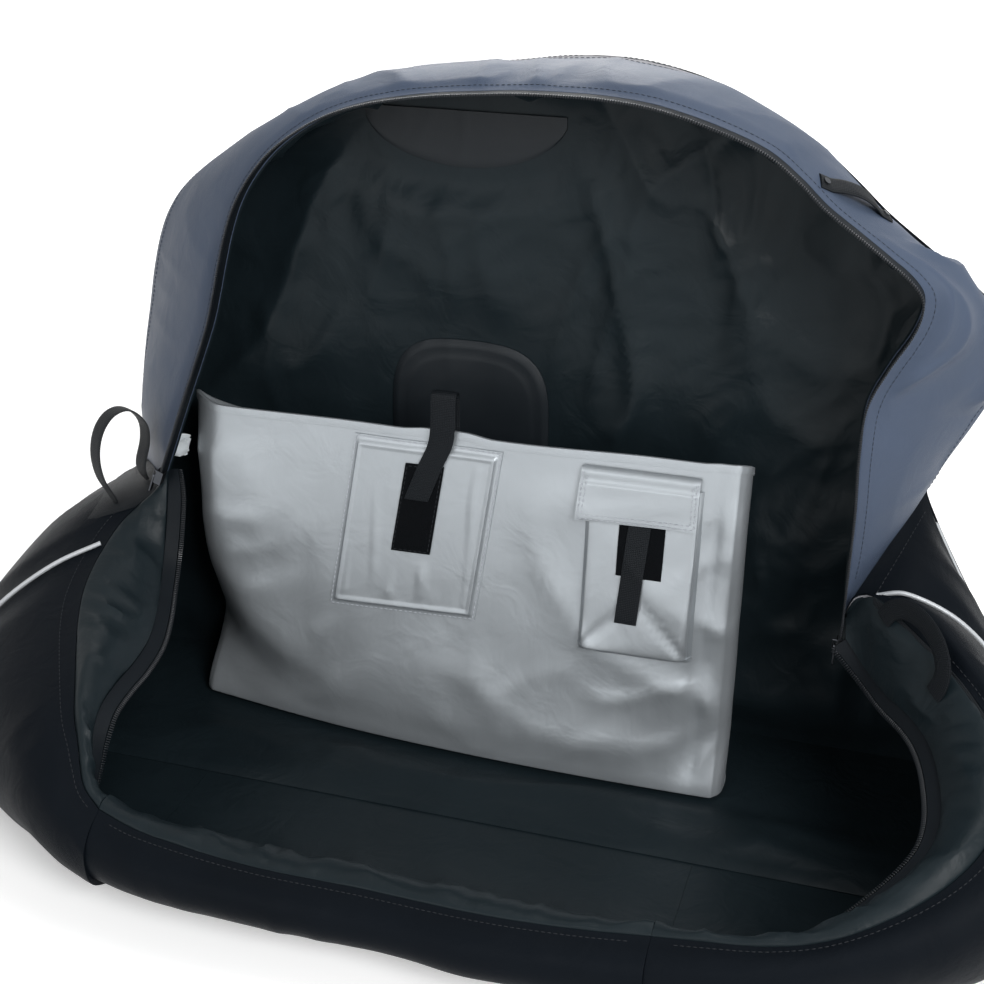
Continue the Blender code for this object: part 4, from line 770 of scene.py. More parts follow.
def backOutline():
    floor = bagSizes["floorTop"] + gap
    left = [point for point in lower[0, :wallSteps + 1] if point[2] > floor + gap]
    right = [point for point in lower[-1, :wallSteps + 1][::-1] if point[2] > floor + gap]
    line = left + list(arch[1:-1, 0]) + right
    flat = [(left[0][0], floor)] + [(point[0], point[2]) for point in line] + [(right[-1][0], floor)]
    flat = splineThrough(np.array(flat), 5)
    lengths = lengthsOf(flat)
    top = lengths[np.argmax(flat[:, 1])]
    shares = np.linspace(0, 0.995, backLook["rows"])
    leftSide = interpolated(shares * top, lengths, flat)
    rightSide = interpolated(lengths[-1] - shares * (lengths[-1] - top), lengths, flat)
    across = np.linspace(0, 1, backLook["columns"])[:, None, None]
    return leftSide * (1 - across) + rightSide * across

backFlat = backOutline()

def backFade(count, startShare, endShare):
    # 1 in the middle of a row, 0 at its two ends
    return np.minimum(smooth(np.linspace(0, 1, count), 0, startShare),
                      smooth(np.linspace(1, 0, count), 0, endShare))

backEdge = np.minimum(backFade(backLook["columns"], 0.07, 0.07)[:, None],
                      backFade(backLook["rows"], 0.06, 0.12)[None, :])

def backSag(flat):
    # How far the back wall's lining stands off towards the mouth
    crumple = creased(flat, backLook["liningFolds"])
    calm = np.ones(flat.shape[:-1])
    for look, low, tall in ((padLook, padLook["z"], padLook["halfZ"]),
                            (labelLook, labelLook["z"] - labelLook["calmDrop"], labelLook["calmHalfZ"])):
        away = np.hypot((flat[..., 0] - look["x"]) / look["halfX"], (flat[..., 1] - low) / tall)
        calm = calm * (0.18 + 0.82 * smooth(away, 1.0, 1.9))
    return backLook["liningDepth"] * crumple * calm

def backLayer(name, node, back, thickness, outward, inward, finish, step=1):
    flat = backFlat[::step, ::step]
    follow = inward[::step, ::step] * 0.85
    outerY = np.full(flat.shape[:2], back) + outward[::step, ::step] - follow
    innerY = np.full(flat.shape[:2], back - thickness) - inward[::step, ::step]
    outer, inner = (np.stack([flat[..., 0], y, flat[..., 1]], -1) for y in (outerY, innerY))
    piece = shaped(name, outer, inner, finish, flat)
    dress(piece, [node])
    return back - thickness - gap

still = np.zeros(backFlat.shape[:2])
backPuff = (folds(backFlat, 0.20, 2.4, 70, 71) * 0.8 + 0.35 * softNoise(backFlat, 0.25, 72)
            + 0.35 * folds(backFlat, 0.09, 2.2, 115, 73) + 0.2)
backPuff = backEdge * backLook["skinDepth"] * backPuff
level = backLayer("backSkin", "back_skin", halfDepth, layers["skin"], backPuff, still, outerCloth)
level = backLayer("backFoam", "back_foam", level, layers["foam"], still, still, foamBlock,
                  step=3)

def insideEdge(grid, inset):
    # A grid's values a little inside its two sides and its top
    return np.concatenate([grid[inset, :-3], grid[inset:-inset, -3], grid[-1 - inset, -3::-1]])

seamLine = insideEdge(backFlat, backLook["seamInset"])
seamPuff = insideEdge(backPuff, backLook["seamInset"])
stitches("backSeamStitches", [np.stack([seamLine[:, 0], halfDepth + seamPuff + 0.0003, seamLine[:, 1]], -1)],
         [(0, 1, 0)], greyThread)
backLayer("backLining", "back_lining", level, layers["lining"], still, backEdge * backSag(backFlat),
          liningCloth)
print("stage: back wall")

# Base: outer cloth and foam under the floor's lining, with the board between them
baseLook = {"columns": 150, "rows": 40, "fold": 0.12, "foldDepth": 0.012, "turn": 0.0015, "drop": 0.0027}

def baseFlat():
    outline = lower[:, 0, :2]
    right = outline[outline[:, 0] > 0]
    right = right[right[:, 1] > -halfDepth + 1e-6]
    frontX = bagSizes["footHalfX"] * 0.82
    right = np.concatenate([[[frontX, -halfDepth]], right[np.argsort(right[:, 1])]])
    y = np.linspace(-halfDepth + gap, halfDepth - gap, baseLook["rows"])
    x = np.interp(y, right[:, 1], right[:, 0]) - gap
    across = np.linspace(-1, 1, baseLook["columns"])[:, None]
    return np.stack([across * x[None, :], np.broadcast_to(y, (baseLook["columns"], len(y)))], -1)

def baseLayer(name, node, bottom, thickness, finish, wrinkled=0.0, step=1):
    flat = baseFlat()[::step, ::step]
    i = np.linspace(0, 1, flat.shape[0])[:, None]
    j = np.linspace(0, 1, flat.shape[1])[None, :]
    edge = fading(i, j, 0.05, 0.15)
    calm = 1 - 0.8 * smooth(flat[..., 1], -0.07, -0.03)
    lift = edge * calm * wrinkled * (folds(flat, baseLook["fold"], 2.2, 15, 81) * 0.75
                                     + folds(flat, baseLook["fold"] * 0.4, 2.0, 160, 82) * 0.25)
    upper = np.concatenate([flat, np.full(flat.shape[:2] + (1,), bottom + thickness)], -1)
    upper[..., 2] += lift
    under = np.concatenate([flat, np.full(flat.shape[:2] + (1,), bottom)], -1)
    if wrinkled:
        # The lining turns down over the foam's edge at the front and both ends
        for grid in (upper, under):
            grid[:, 0, 1] -= baseLook["turn"]
            grid[[0, -1], :, 0] += np.array([[-baseLook["turn"]], [baseLook["turn"]]])
            grid[:, 0, 2] -= baseLook["drop"]
            grid[[0, -1], 1:, 2] -= baseLook["drop"]
    if bottom == 0:
        # The outer cloth turns up over the layers' edges at the back, where it meets the back wall
        upper[:, -1, 1] += baseLook["turn"]
        upper[:, -1, 2] = bagSizes["floorTop"] + gap
        under[:, -1, 1] += 2 * baseLook["turn"]
    piece = shaped(name, upper, under, finish, flat)
    dress(piece, [node])

boardBottom = layers["skin"] + gap
foamBottom = boardBottom + layers["board"] + gap
liningBottom = foamBottom + layers["foam"] + gap
baseLayer("baseSkin", "base_skin", 0.0, layers["skin"], outerCloth)
baseLayer("baseFoam", "base_foam", foamBottom, layers["foam"], foamBlock, step=3)
baseLayer("baseLining", "base_lining", liningBottom, layers["lining"], liningCloth,
          baseLook["foldDepth"])
print("stage: base")

def surfaceAt(grid, u, v):
    i, j = min(int(u), grid.shape[0] - 2), min(int(v), grid.shape[1] - 2)
    fu, fv = u - i, v - j
    return ((grid[i, j] * (1 - fv) + grid[i, j + 1] * fv) * (1 - fu)
            + (grid[i + 1, j] * (1 - fv) + grid[i + 1, j + 1] * fv) * fu)

# Reflective piping down the ends' seams: a covered cord
pipingLook = {"radius": 0.0028, "lift": 0.00065, "backShift": 0.006, "backSink": 0.005}

def piping(name, node, column, topRow, lastShare):
    rows = slice(2, topRow + 1)
    centre = lower[column, rows] + lowerNormals[column, rows] * (pipingLook["radius"] + pipingLook["lift"])
    if column in (0, rightEnd):
        # The back ones lie round the corner, on the back's side of the seam
        centre = centre - lowerNormals[column, rows] * pipingLook["backSink"]
        centre = centre + (0, pipingLook["backShift"], 0)
    centre[-1] = centre[-2] + (centre[-1] - centre[-2]) * lastShare
    line = splineThrough(centre, 8)
    normals = unit(splineThrough(lowerNormals[column, rows], 8))
    run = unit(np.gradient(line, axis=0))
    side = unit(np.cross(run, normals))
    rings = [line + (normals * math.sin(angle) + side * math.cos(angle)) * pipingLook["radius"]
             for angle in np.linspace(0, 2 * math.pi, 17)]
    dress(ribbonTube(name, np.stack(rings, axis=1), reflectiveCover), [node])

def ribbonTube(name, rings, finish):
    # A closed tube from rings of points, with its ends filled
    piece, i, j = gridPiece(name, walked(rings), finish)
    piece.data.vertices.foreach_set("co", rings[i, j].ravel())
    piece.data.update()
    bpy.ops.object.mode_set(mode="EDIT")
    bpy.ops.mesh.select_all(action="SELECT")
    bpy.ops.mesh.remove_doubles(threshold=0.00002)
    bpy.ops.mesh.select_all(action="DESELECT")
    bpy.ops.mesh.select_non_manifold()
    bpy.ops.mesh.edge_face_add()
    bpy.ops.object.mode_set(mode="OBJECT")
    return closed(piece, 60)

piping("leftFrontPiping", "left_front_piping", leftPinch + 4, wallSteps, 0.9)
piping("rightFrontPiping", "right_front_piping", rightPinch + 1, wallSteps, 0.6)
piping("leftBackPiping", "left_back_piping", 0, wallSteps - 1, 0.3)
piping("rightBackPiping", "right_back_piping", rightEnd, wallSteps - 1, 1.0)
print("stage: piping")

def ribbon(name, line, wide, thick, halfWidths, thickness, finish, rows=9):
    # A strap of webbing along a line, a little thinner at its woven edges
    wide, thick = unit(wide), unit(thick)
    across = np.linspace(-1, 1, rows)
    crown = (1 - np.abs(across) ** 6 * 0.75) * thickness / 2
    sideways = np.asarray(halfWidths)[:, None] * across
    middle = line[:, None] + wide[:, None] * sideways[..., None]
    lift = thick[:, None] * crown[None, :, None]
    flat = np.stack([np.broadcast_to(lengthsOf(line)[:, None], sideways.shape), sideways], -1)
    return shaped(name, middle + lift, middle - lift, finish, flat)

# End handles of webbing, each sewn down on its patch. The left one stands up in a loop
handleLook = {"width": 0.028, "thick": 0.0024, "clearance": 0.0012, "flatLift": 0.0020, "patch": 0.002,
              "leftLoop": [(-0.12, 0.12), (-0.45, 0.30), (-0.64, 0.50), (-0.58, 0.70), (-0.36, 0.84),
                           (-0.02, 0.88), (0.34, 0.82), (0.66, 0.68), (0.90, 0.48), (1.02, 0.24)],
              "rightLoop": [(0.02, 0.40), (0.14, 0.75), (0.38, 1.0), (0.66, 1.0), (0.88, 0.75), (0.98, 0.40)],
              "leftHeight": 0.100, "rightHeight": 0.045, "leftLean": (0.10, 0.30, 1.0), "rightTilt": 0.35}
footRadius = handleLook["width"] / 2

def handlePatch(side, columns, rows):
    columns, rows = slice(columns[0], columns[1] + 1), slice(rows[0], rows[1] + 1)
    fine = refined(lower[columns, rows], 8, 8)
    fineNormals = unit(refined(lowerNormals[columns, rows], 8, 8))
    i = np.linspace(0, 1, fine.shape[0])[:, None]
    j = np.linspace(0, 1, fine.shape[1])[None, :]
    edge = fading(i, j, 0.05, 0.08)
    top = gap + handleLook["patch"] * (0.55 + 0.45 * edge)
    piece = shaped(side + "HandlePatch", fine + fineNormals * top[..., None], fine + fineNormals * gap,
                   webbingCloth)
    dress(piece, [side + "_handle_patch"])

def standingHandle():
    footA, footB = (leftPinch - 1, wallSteps - 0.25), (leftPinch + 1, wallSteps - 0.6)
    placeA, placeB = surfaceAt(lower, *footA), surfaceAt(lower, *footB)
    along = unit(placeB - placeA)
    up = np.array(handleLook["leftLean"])
    up = unit(up - along * (up @ along))
    wide = np.cross(along, up)
    sit = handleLook["patch"] + gap + handleLook["clearance"]
    centres = []
    for spot, foot in ((placeA, footA), (placeB, footB)):
        normal = unit(surfaceAt(lowerNormals, *foot))
        reach = (footRadius * math.hypot(normal @ up, normal @ wide)
                 + handleLook["thick"] / 2 * abs(normal @ along))
        centres.append(spot + normal * (sit + reach))
    a, b = centres
    loop = [a + (b - a) * share + up * handleLook["leftHeight"] * rise
            for share, rise in handleLook["leftLoop"]]
    line = splineThrough([a - up * footRadius, a] + loop + [b, b - up * footRadius], 14)
    run = np.gradient(line, axis=0)
    lengths = lengthsOf(line)
    drop = np.maximum(footRadius - np.minimum(lengths, lengths[-1] - lengths), 0)
    half = np.maximum(np.sqrt(footRadius ** 2 - drop ** 2), footRadius * 0.167)
    piece = ribbon("leftEndHandle", line, np.broadcast_to(wide, line.shape), np.cross(run, wide), half,
                   handleLook["thick"], webbingCloth)
    dress(piece, ["left_end_handle"], "left_handle_body")

def flatHandle():
    footA, footB = (rightPinch - 3.4, wallSteps + 0.6), (rightPinch - 5.0, wallSteps + 1.5)
    sit = handleLook["patch"] + gap + handleLook["flatLift"] + handleLook["thick"] / 2
    normal = unit(surfaceAt(lowerNormals, *footA) + surfaceAt(lowerNormals, *footB))
    a = surfaceAt(lower, *footA) + unit(surfaceAt(lowerNormals, *footA)) * sit
    b = surfaceAt(lower, *footB) + unit(surfaceAt(lowerNormals, *footB)) * sit
    along = unit(b - a)
    up = unit(np.cross(normal, along))
    up = up if up[0] > 0 else -up
    up = unit(up + unit(normal - along * (normal @ along)) * handleLook["rightTilt"])
    out = np.cross(along, up)
    loop = [a + (b - a) * share + up * handleLook["rightHeight"] * rise
            for share, rise in handleLook["rightLoop"]]
    line = splineThrough([a] + loop + [b], 14)
    run = np.gradient(line, axis=0)
    run[0], run[-1] = up, -up
    piece = ribbon("rightEndHandle", line, np.cross(run, out), np.broadcast_to(out, line.shape),
                   [footRadius * 0.8] * len(line), handleLook["thick"], webbingCloth)
    dress(piece, ["right_end_handle"], "right_handle_body")

handlePatch("left", (leftPinch - 3, leftPinch + 2), (wallSteps - 2, wallSteps))
handlePatch("right", (rightPinch - 6, rightPinch - 3), (wallSteps, wallSteps + 2))
standingHandle()
flatHandle()
print("stage: end handles")

# Wheel pocket: silver cloth sewn to the back wall at its sides and bottom, open at the top
pocketLook = {"left": -0.566 * halfLength, "right": 0.459 * halfLength, "top": 0.515 * bagHeight,
              "floor": bagSizes["floorTop"] + 0.002, "rimDepth": 0.1176, "toeLeft": 0.155, "toeRight": 0.175,
              "wall": 0.002, "sit": 0.0005,
              "sides": [(0.050, 0.050, 0.0), (0.056, 0.024, 0.38), (0.062, 0.003, 0.76), (0.070, 0.012, 0.96),
                        (0.085, 0.060, 1.0)],
              "middle": [(0.30, 0.30, 1.0), (0.50, 0.50, 1.0), (0.70, 0.70, 1.0)],
              "up": [(0.0, 0.0), (0.005, 0.50), (0.012, 0.92), (0.04, 1.0), (0.28, 1.0), (0.52, 1.0),
                     (0.76, 1.0), (1.0, 1.0)],
              "hemHeight": 0.009, "hemThick": 0.0009, "dent": 0.0064, "crease": 0.0042, "wave": 0.004,
              "sideDrop": 0.055, "groove": 0.007, "grooveWidth": 0.011,
              "calmSpots": [(-0.08, 0.31, 0.12, 0.13), (0.196, 0.30, 0.075, 0.12)],
              "arc": {"x": -0.030, "z": 0.362, "halfX": 0.345, "halfZ": 0.335, "power": 2.5,
                      "left": 0.150, "right": 0.046}}

strapLook = {"width": 0.030, "thick": 0.0024, "x": -0.063 * halfLength, "rise": 0.042, "bend": 0.0075}

def pocketFront(x, z):
    across = (x - pocketLook["left"]) / (pocketLook["right"] - pocketLook["left"])
    up = (z - pocketLook["floor"]) / (pocketLook["top"] - pocketLook["floor"])
    toe = pocketLook["toeLeft"] + (pocketLook["toeRight"] - pocketLook["toeLeft"]) * across
    return seamY - (toe + (pocketLook["rimDepth"] - toe) * up)

def rimSlack(x, z):
    # Where the rim is slack: near the top, away from the strap and the two sides
    slack = smooth(z, pocketLook["top"] - 0.06, pocketLook["top"])
    slack = slack * smooth(np.abs(x - strapLook["x"]), 0.02, 0.06)
    return slack * smooth(np.minimum(x - pocketLook["left"], pocketLook["right"] - x), 0.01, 0.06)

def rimWave(x, cell, seed):
    spot = np.stack([np.asarray(x, float), np.zeros_like(x)], -1)
    return pocketLook["wave"] * softNoise(spot, cell, seed)

def pocketDent(x, z):
    # How far the pocket's front stands out from its plain slope. It falls back outside the round that a wheel
    # has filled, has soft dents and creases, and little of them where the stiff guard lies
    x, z = np.asarray(x, float), np.asarray(z, float)
    arc = pocketLook["arc"]
    flat = np.stack([x, z], -1)
    power = arc["power"]
    under = np.minimum(z - arc["z"], 0) / arc["halfZ"]
    reach = (np.abs((x - arc["x"]) / arc["halfX"]) ** power + np.abs(under) ** power) ** (1 / power)
    deep = arc["right"] + (arc["left"] - arc["right"]) * (1 - smooth(x, -0.22, 0.06))
    body = -deep * smooth(reach, 0.86, 1.38)
    rim = 1 - smooth(z, pocketLook["top"] - 0.10, pocketLook["top"] - 0.02)
    toe = smooth(z, pocketLook["floor"], pocketLook["floor"] + 0.05)
    stiff, tool = (smooth(np.hypot((x - spotX) / halfX, (z - spotZ) / halfZ), 0.8, 1.4)
                   for spotX, spotZ, halfX, halfZ in pocketLook["calmSpots"])
    wave = (folds(flat, 0.11, 1.8, 150, 91) - 0.4) + 0.5 * softNoise(flat, 0.12, 92)
    fine = folds(flat, 0.050, 2.4, 35, 93) * smooth(reach, 0.55, 0.9) + folds(flat, 0.040, 3.0, 84, 94) * 0.5
    calm = rim * toe * (0.12 + 0.88 * stiff) * (0.3 + 0.7 * tool)
    lean = x - pocketLook["right"] + 0.036 + 0.02 * (pocketLook["top"] - z)
    groove = pocketLook["groove"] * np.exp(-(lean / pocketLook["grooveWidth"]) ** 2)
    settled = 0.22 + 0.78 * smooth(z, pocketLook["floor"], pocketLook["floor"] + 0.10)
    return (body * settled + calm * (pocketLook["dent"] * wave + pocketLook["crease"] * fine)
            - groove * toe * (0.4 + 0.6 * rim) - rimSlack(x, z) * rimWave(x, 0.13, 95))

def bellows(shares, upShares, corners, front, back, dent=None):
    (left, floor), (right, top) = corners
    grid = []
    for seamAcross, across, sideFactor in shares:
        column = []
        for up, footFactor in upShares:
            x = left + (right - left) * (seamAcross + (across - seamAcross) * footFactor)
            z = floor + (top - floor) * up
            factor = min(sideFactor, 1) * min(footFactor, 1)
            y = back(x, z) + (front(x, z) - back(x, z)) * factor
            column.append((x, y - (dent(x, z) * factor if dent else 0), z))
        grid.append(column)
    grid = np.array(grid)
    normals = gridNormals(grid)
    if normals[len(grid) // 2, -2, 1] > 0:
        normals = -normals
    normals[[0, -1], :, 1] = 0
    normals[:, 0, 1] = 0
    return grid, unit(normals)

def bothSides(sides, middle):
    return sides + middle + [(1 - a, 1 - b, factor) for a, b, factor in reversed(sides)]

def wheelPocket():
    shares = splineThrough(bothSides(pocketLook["sides"], pocketLook["middle"]), 14)
    ups = splineThrough(pocketLook["up"], 12)
    corners = ((pocketLook["left"], pocketLook["floor"]), (pocketLook["right"], pocketLook["top"]))
    grid, normals = bellows(shares, ups, corners, pocketFront, lambda x, z: seamY, pocketDent)
    side = 1 - np.clip(shares[:, 2], 0, 1)
    high = smooth(grid[..., 2], pocketLook["top"] - 0.14, pocketLook["top"])
    dip = rimWave(grid[:, -1, 0], 0.17, 96) * 0.8 - pocketLook["wave"] * 0.5
    drop = high * side[:, None] * pocketLook["sideDrop"]
    grid[..., 2] += rimSlack(grid[..., 0], grid[..., 2]) * dip[:, None] - drop
    flat = walked(grid)
    piece = shaped("wheelPocket", grid, grid - normals * pocketLook["wall"], silverCloth, flat)
    dress(piece, ["wheel_pocket"])
    return grid, normals

pocketGrid, pocketNormals = wheelPocket()

def rimHem():
    outer = gap + pocketLook["hemThick"]
    inner = -(pocketLook["wall"] + outer)
    height = pocketLook["hemHeight"]
    thin = pocketLook["hemThick"]
    profile = [(gap, -height), (outer, -height), (outer + 0.0003, -height / 2), (outer, outer * 0.4),
               ((outer + inner) / 2, outer), (inner, outer * 0.4), (inner, -height), (inner + thin, -height),
               (inner + thin, gap), (gap, gap), (gap, -height)]
    rings = []
    for i in range(len(pocketGrid)):
        rim = pocketGrid[i, -1]
        up = unit(rim - pocketGrid[i, -2])
        rings.append([rim + pocketNormals[i, -1] * out + up * high for out, high in profile])
    piece = ribbonTube("pocketRimHem", np.array(rings), silverCloth)
    dress(piece, ["pocket_rim_hem"])
    low = pocketGrid[3:-3, -1] + pocketNormals[3:-3, -1] * (outer + 0.0001)
    stitches("pocketRimStitches", [low + np.array([0, 0, -height * 0.72])], [pocketNormals[3:-3, -1]],
             silverThread)

rimHem()
print("stage: wheel pocket")

def onPocket(cornerShares, across, down, rise):
    # Points in front of the pocket, from an upper left corner round to a lower left one
    corners = [np.array([x * halfLength, z * bagHeight]) for x, z in cornerShares]
    i, j = np.meshgrid(across, down, indexing="ij")
    i, j = i[..., None], j[..., None]
    flat = ((1 - i) * (1 - j) * corners[0] + i * (1 - j) * corners[1] + i * j * corners[2]
            + (1 - i) * j * corners[3])
    y = pocketFront(flat[..., 0], flat[..., 1]) - pocketDent(flat[..., 0], flat[..., 1]) - rise
    return np.stack([flat[..., 0], y, flat[..., 1]], -1), flat

def flatPiece(name, node, cornerShares, rise, thickness, finish, body="bag", detail=(30, 30),
              soft=0.35, lift=None, sink=None):
    across, down = np.linspace(0, 1, detail[0]), np.linspace(0, 1, detail[1])
    i, j = np.meshgrid(across, down, indexing="ij")
    edge = fading(i, j, 0.06, 0.06)
    extra = lift(i, j) if lift else 0
    if sink:
        extra = extra - sink(onPocket(cornerShares, across, down, 0)[1][..., 1])
    under, flat = onPocket(cornerShares, across, down, rise + extra)
    over, flat = onPocket(cornerShares, across, down, rise + extra + thickness * (1 - soft + soft * edge))
    piece = shaped(name, over, under, finish, flat)
    dress(piece, [node], body)

# Stiff hub guard under its sewn panel, with the loop patch for the strap
guardLook = {"panel": [(-0.229, 0.496), (0.040, 0.496), (0.0, 0.245), (-0.276, 0.235)], "panelThick": 0.0015,
             "plateThick": 0.002,
             "loop": [(-0.132, 0.465), (-0.062, 0.466), (-0.084, 0.336), (-0.156, 0.335)],
             "loopThick": 0.002}
sit = pocketLook["sit"]
panelLift = sit + guardLook["plateThick"] + 2 * gap
patchLift = panelLift + guardLook["panelThick"] + 2 * gap

def panelRise(i, j):
    # A flat sewn margin, a welt, then the stiff part, with upright wrinkles where nothing is sewn on it
    inset = np.minimum(np.minimum(i, 1 - i), np.minimum(j, 1 - j))
    welt = np.exp(-((inset - 0.046) / 0.010) ** 2) * 0.0016
    bare = 1 - (1 - smooth(j, 0.64, 0.80)) * smooth(i, 0.20, 0.34) * (1 - smooth(i, 0.70, 0.84))
    wave = (np.sin(i * 21 + 1.2 * np.sin(j * 4.0) + 0.8) * 0.6
            + np.sin(i * 37 + 1.7 * np.sin(j * 5.0 + 1)) * 0.4)
    wrinkle = np.maximum(wave, 0) ** 1.6 * 0.0019 * smooth(inset, 0.06, 0.13) * bare
    return smooth(inset, 0.020, 0.048) * (panelLift - sit) + welt + wrinkle

flatPiece("hubGuardPanel", "hub_guard_panel", guardLook["panel"], sit, guardLook["panelThick"], silverCloth,
          detail=(96, 96), lift=panelRise)
flatPiece("hubLoopPatch", "hub_loop_patch", guardLook["loop"], patchLift, guardLook["loopThick"], hookCloth,
          detail=(16, 28))

def framed(cornerShares, inset, rise, sides="lrtb", count=60, sink=None):
    # Lines a little inside the four edges of a piece on the pocket
    corners = np.array(cornerShares) * (halfLength, bagHeight)
    centre = corners.mean(0)
    lines = []
    for a, b, key in ((0, 1, "t"), (1, 2, "r"), (2, 3, "b"), (3, 0, "l")):
        if key not in sides:
            continue
        ends = []
        for corner in (corners[a], corners[b]):
            size = np.abs(corner - centre)
            ends.append(centre + (corner - centre) * (size - inset) / size)
        t = np.linspace(0, 1, count)[:, None]
        flat = ends[0] * (1 - t) + ends[1] * t
        y = pocketFront(flat[:, 0], flat[:, 1]) - pocketDent(flat[:, 0], flat[:, 1]) - rise
        if sink:
            y = y + sink(flat[:, 1])
        lines.append(np.stack([flat[:, 0], y, flat[:, 1]], -1))
    return lines

def frameStitches(name, cornerShares, insets, rise, finish, sides="lrtb", body="bag", sink=None):
    lines = [line for inset in insets for line in framed(cornerShares, inset, rise, sides, sink=sink)]
    stitches(name, lines, [towardMouth] * len(lines), finish, body)

frameStitches("hubGuardStitches", guardLook["panel"], (0.0020,), sit + guardLook["panelThick"] + 0.0002,
              silverThread)
frameStitches("hubLoopStitches", guardLook["loop"], (0.0025,), patchLift + guardLook["loopThick"],
              blackThread)

# Hub strap: sewn inside the pocket, over the rim, and down to its loop patch
def uprightStrap(name, node, points, steps, body="bag"):
    line = splineThrough(points, steps)
    run = np.gradient(line, axis=0)
    wide = np.broadcast_to([1.0, 0, 0], line.shape)
    piece = ribbon(name, line, wide, np.cross(run, wide), [strapLook["width"] / 2] * len(line),
                   strapLook["thick"], webbingCloth)
    dress(piece, [node], body)

def hubStrap():
    x, thick, top = strapLook["x"], strapLook["thick"], pocketLook["top"]
    peak = top + strapLook["rise"]
    inside = (seamY - pocketLook["rimDepth"] + pocketLook["wall"] + gap + pocketLook["hemThick"] + 2 * gap
              + thick / 2)
    offset = pocketLook["wall"] + sit + thick / 2
    rim = top - pocketLook["hemHeight"]
    root = [(x, pocketFront(x, z) + offset, z) for z in (top - 0.052, top - 0.026)]
    uprightStrap("hubStrapRoot", "hub_strap_root", root + [(x, inside, rim - gap),
                                                           (x, inside, peak - thick / 2 - 2 * gap)], 6)
    rise = patchLift + guardLook["loopThick"] + 2 * gap + thick / 2
    front = pocketFront(x, rim) - rise
    bend = strapLook["bend"]
    tail = [(x, inside, peak), (x, inside - bend * 0.3, peak + bend * 0.7),
            (x, (inside + front) / 2, peak + bend), (x, front + bend * 0.3, peak + bend * 0.7),
            (x, front, peak), (x * 1.07, front, rim)]
    for shareX, shareZ in ((-0.088, 0.462), (-0.110, 0.415)):
        spotX, spotZ = shareX * halfLength, shareZ * bagHeight
        tail.append((spotX, pocketFront(spotX, spotZ) - rise, spotZ))
    uprightStrap("hubStrap", "hub_strap", tail, 8, "hub_strap_body")

hubStrap()
print("stage: hub guard and strap")

# Tool pocket with its flap and the strap on the flap
toolLook = {"left": 0.190 * halfLength, "right": 0.386 * halfLength, "floor": 0.231 * bagHeight,
            "top": 0.476 * bagHeight, "bellows": 0.018, "wall": 0.0015,
            "sides": [(0.0, 0.0, 0.0), (0.03, 0.03, 0.6), (0.09, 0.09, 1.0)], "middle": [(0.5, 0.5, 1.0)],
            "up": [(0.0, 0.0), (0.03, 0.6), (0.08, 1.0), (0.5, 1.0), (1.0, 1.0)],
            "patch": [(0.250, 0.428), (0.328, 0.428), (0.328, 0.350), (0.250, 0.350)],
            "strap": [(0.268, 0.445), (0.306, 0.445), (0.292, 0.284), (0.254, 0.284)],
            "flap": [(0.180, 0.494), (0.380, 0.494), (0.380, 0.424), (0.174, 0.421)], "thin": 0.0015}
toolRise = sit + toolLook["bellows"]

def toolSink(z):
    # Empty, the tool pocket lies flatter towards its mouth
    return toolLook["bellows"] * (0.42 + 0.34 * smooth(z, toolLook["floor"] + 0.06, toolLook["top"] - 0.01))

toolPatchLift = toolRise + sit
flapStrapLift = toolPatchLift + toolLook["thin"] + sit
flapLift = flapStrapLift + toolLook["thin"] + gap

def toolDent(x, z):
    flat = np.stack([np.asarray(x, float), np.asarray(z, float)], -1)
    low = 1 - smooth(flat[..., 1], toolLook["top"] - 0.12, toolLook["top"] - 0.08)
    middle = (toolLook["left"] + toolLook["right"]) / 2
    corner = np.abs(flat[..., 0] - middle) + flat[..., 1] - toolLook["floor"]
    pleat = np.exp(-((corner - 0.072) / 0.006) ** 2)
    return low * (0.0026 * folds(flat, 0.05, 2.0, 60, 97) - 0.0035 * pleat)

def toolPocket():
    shares = splineThrough(bothSides(toolLook["sides"], toolLook["middle"]), 10)
    ups = splineThrough(toolLook["up"], 10)
    corners = ((toolLook["left"], toolLook["floor"]), (toolLook["right"], toolLook["top"]))

    def front(x, z):
        return pocketFront(x, z) - toolRise + toolSink(z) - pocketDent(x, z) - toolDent(x, z)

    def back(x, z):
        return pocketFront(x, z) - sit - pocketDent(x, z)

    grid, normals = bellows(shares, ups, corners, front, back)
    piece = shaped("toolPocket", grid, grid - normals * toolLook["wall"], silverCloth)
    dress(piece, ["tool_pocket"])
    cut = np.array([toolLook["right"] - toolLook["left"], toolLook["top"] - toolLook["floor"]])
    cut = cut + np.array([2, 1]) * toolLook["bellows"]

def flapDrop(i, j):
    ripple = 0.0005 * np.sin(j * 9 + i * 4) * smooth(j, 0.3, 0.7)
    return np.minimum(j / 0.30, 1) ** 0.8 * (flapLift - 0.002) + ripple

toolPocket()
flatPiece("toolLoopPatch", "tool_loop_patch", toolLook["patch"], toolPatchLift, toolLook["thin"], hookCloth,
          detail=(16, 16), sink=toolSink)
flatPiece("toolFlapStrap", "tool_flap_strap", toolLook["strap"], flapStrapLift, toolLook["thin"],
          webbingCloth, "flap_body", detail=(12, 40), sink=toolSink)
flatPiece("toolFlap", "tool_flap", toolLook["flap"], 0.002, toolLook["thin"], silverCloth,
          "flap_body", detail=(48, 40), lift=flapDrop,
          sink=lambda z: toolSink(z) * smooth(0.4199 - z, 0, 0.018))
frameStitches("toolFlapStitches", toolLook["flap"], (0.003, 0.0075), flapLift + toolLook["thin"] + 0.0005,
              silverThread, "lrb", "flap_body", toolSink)
print("stage: tool pocket")

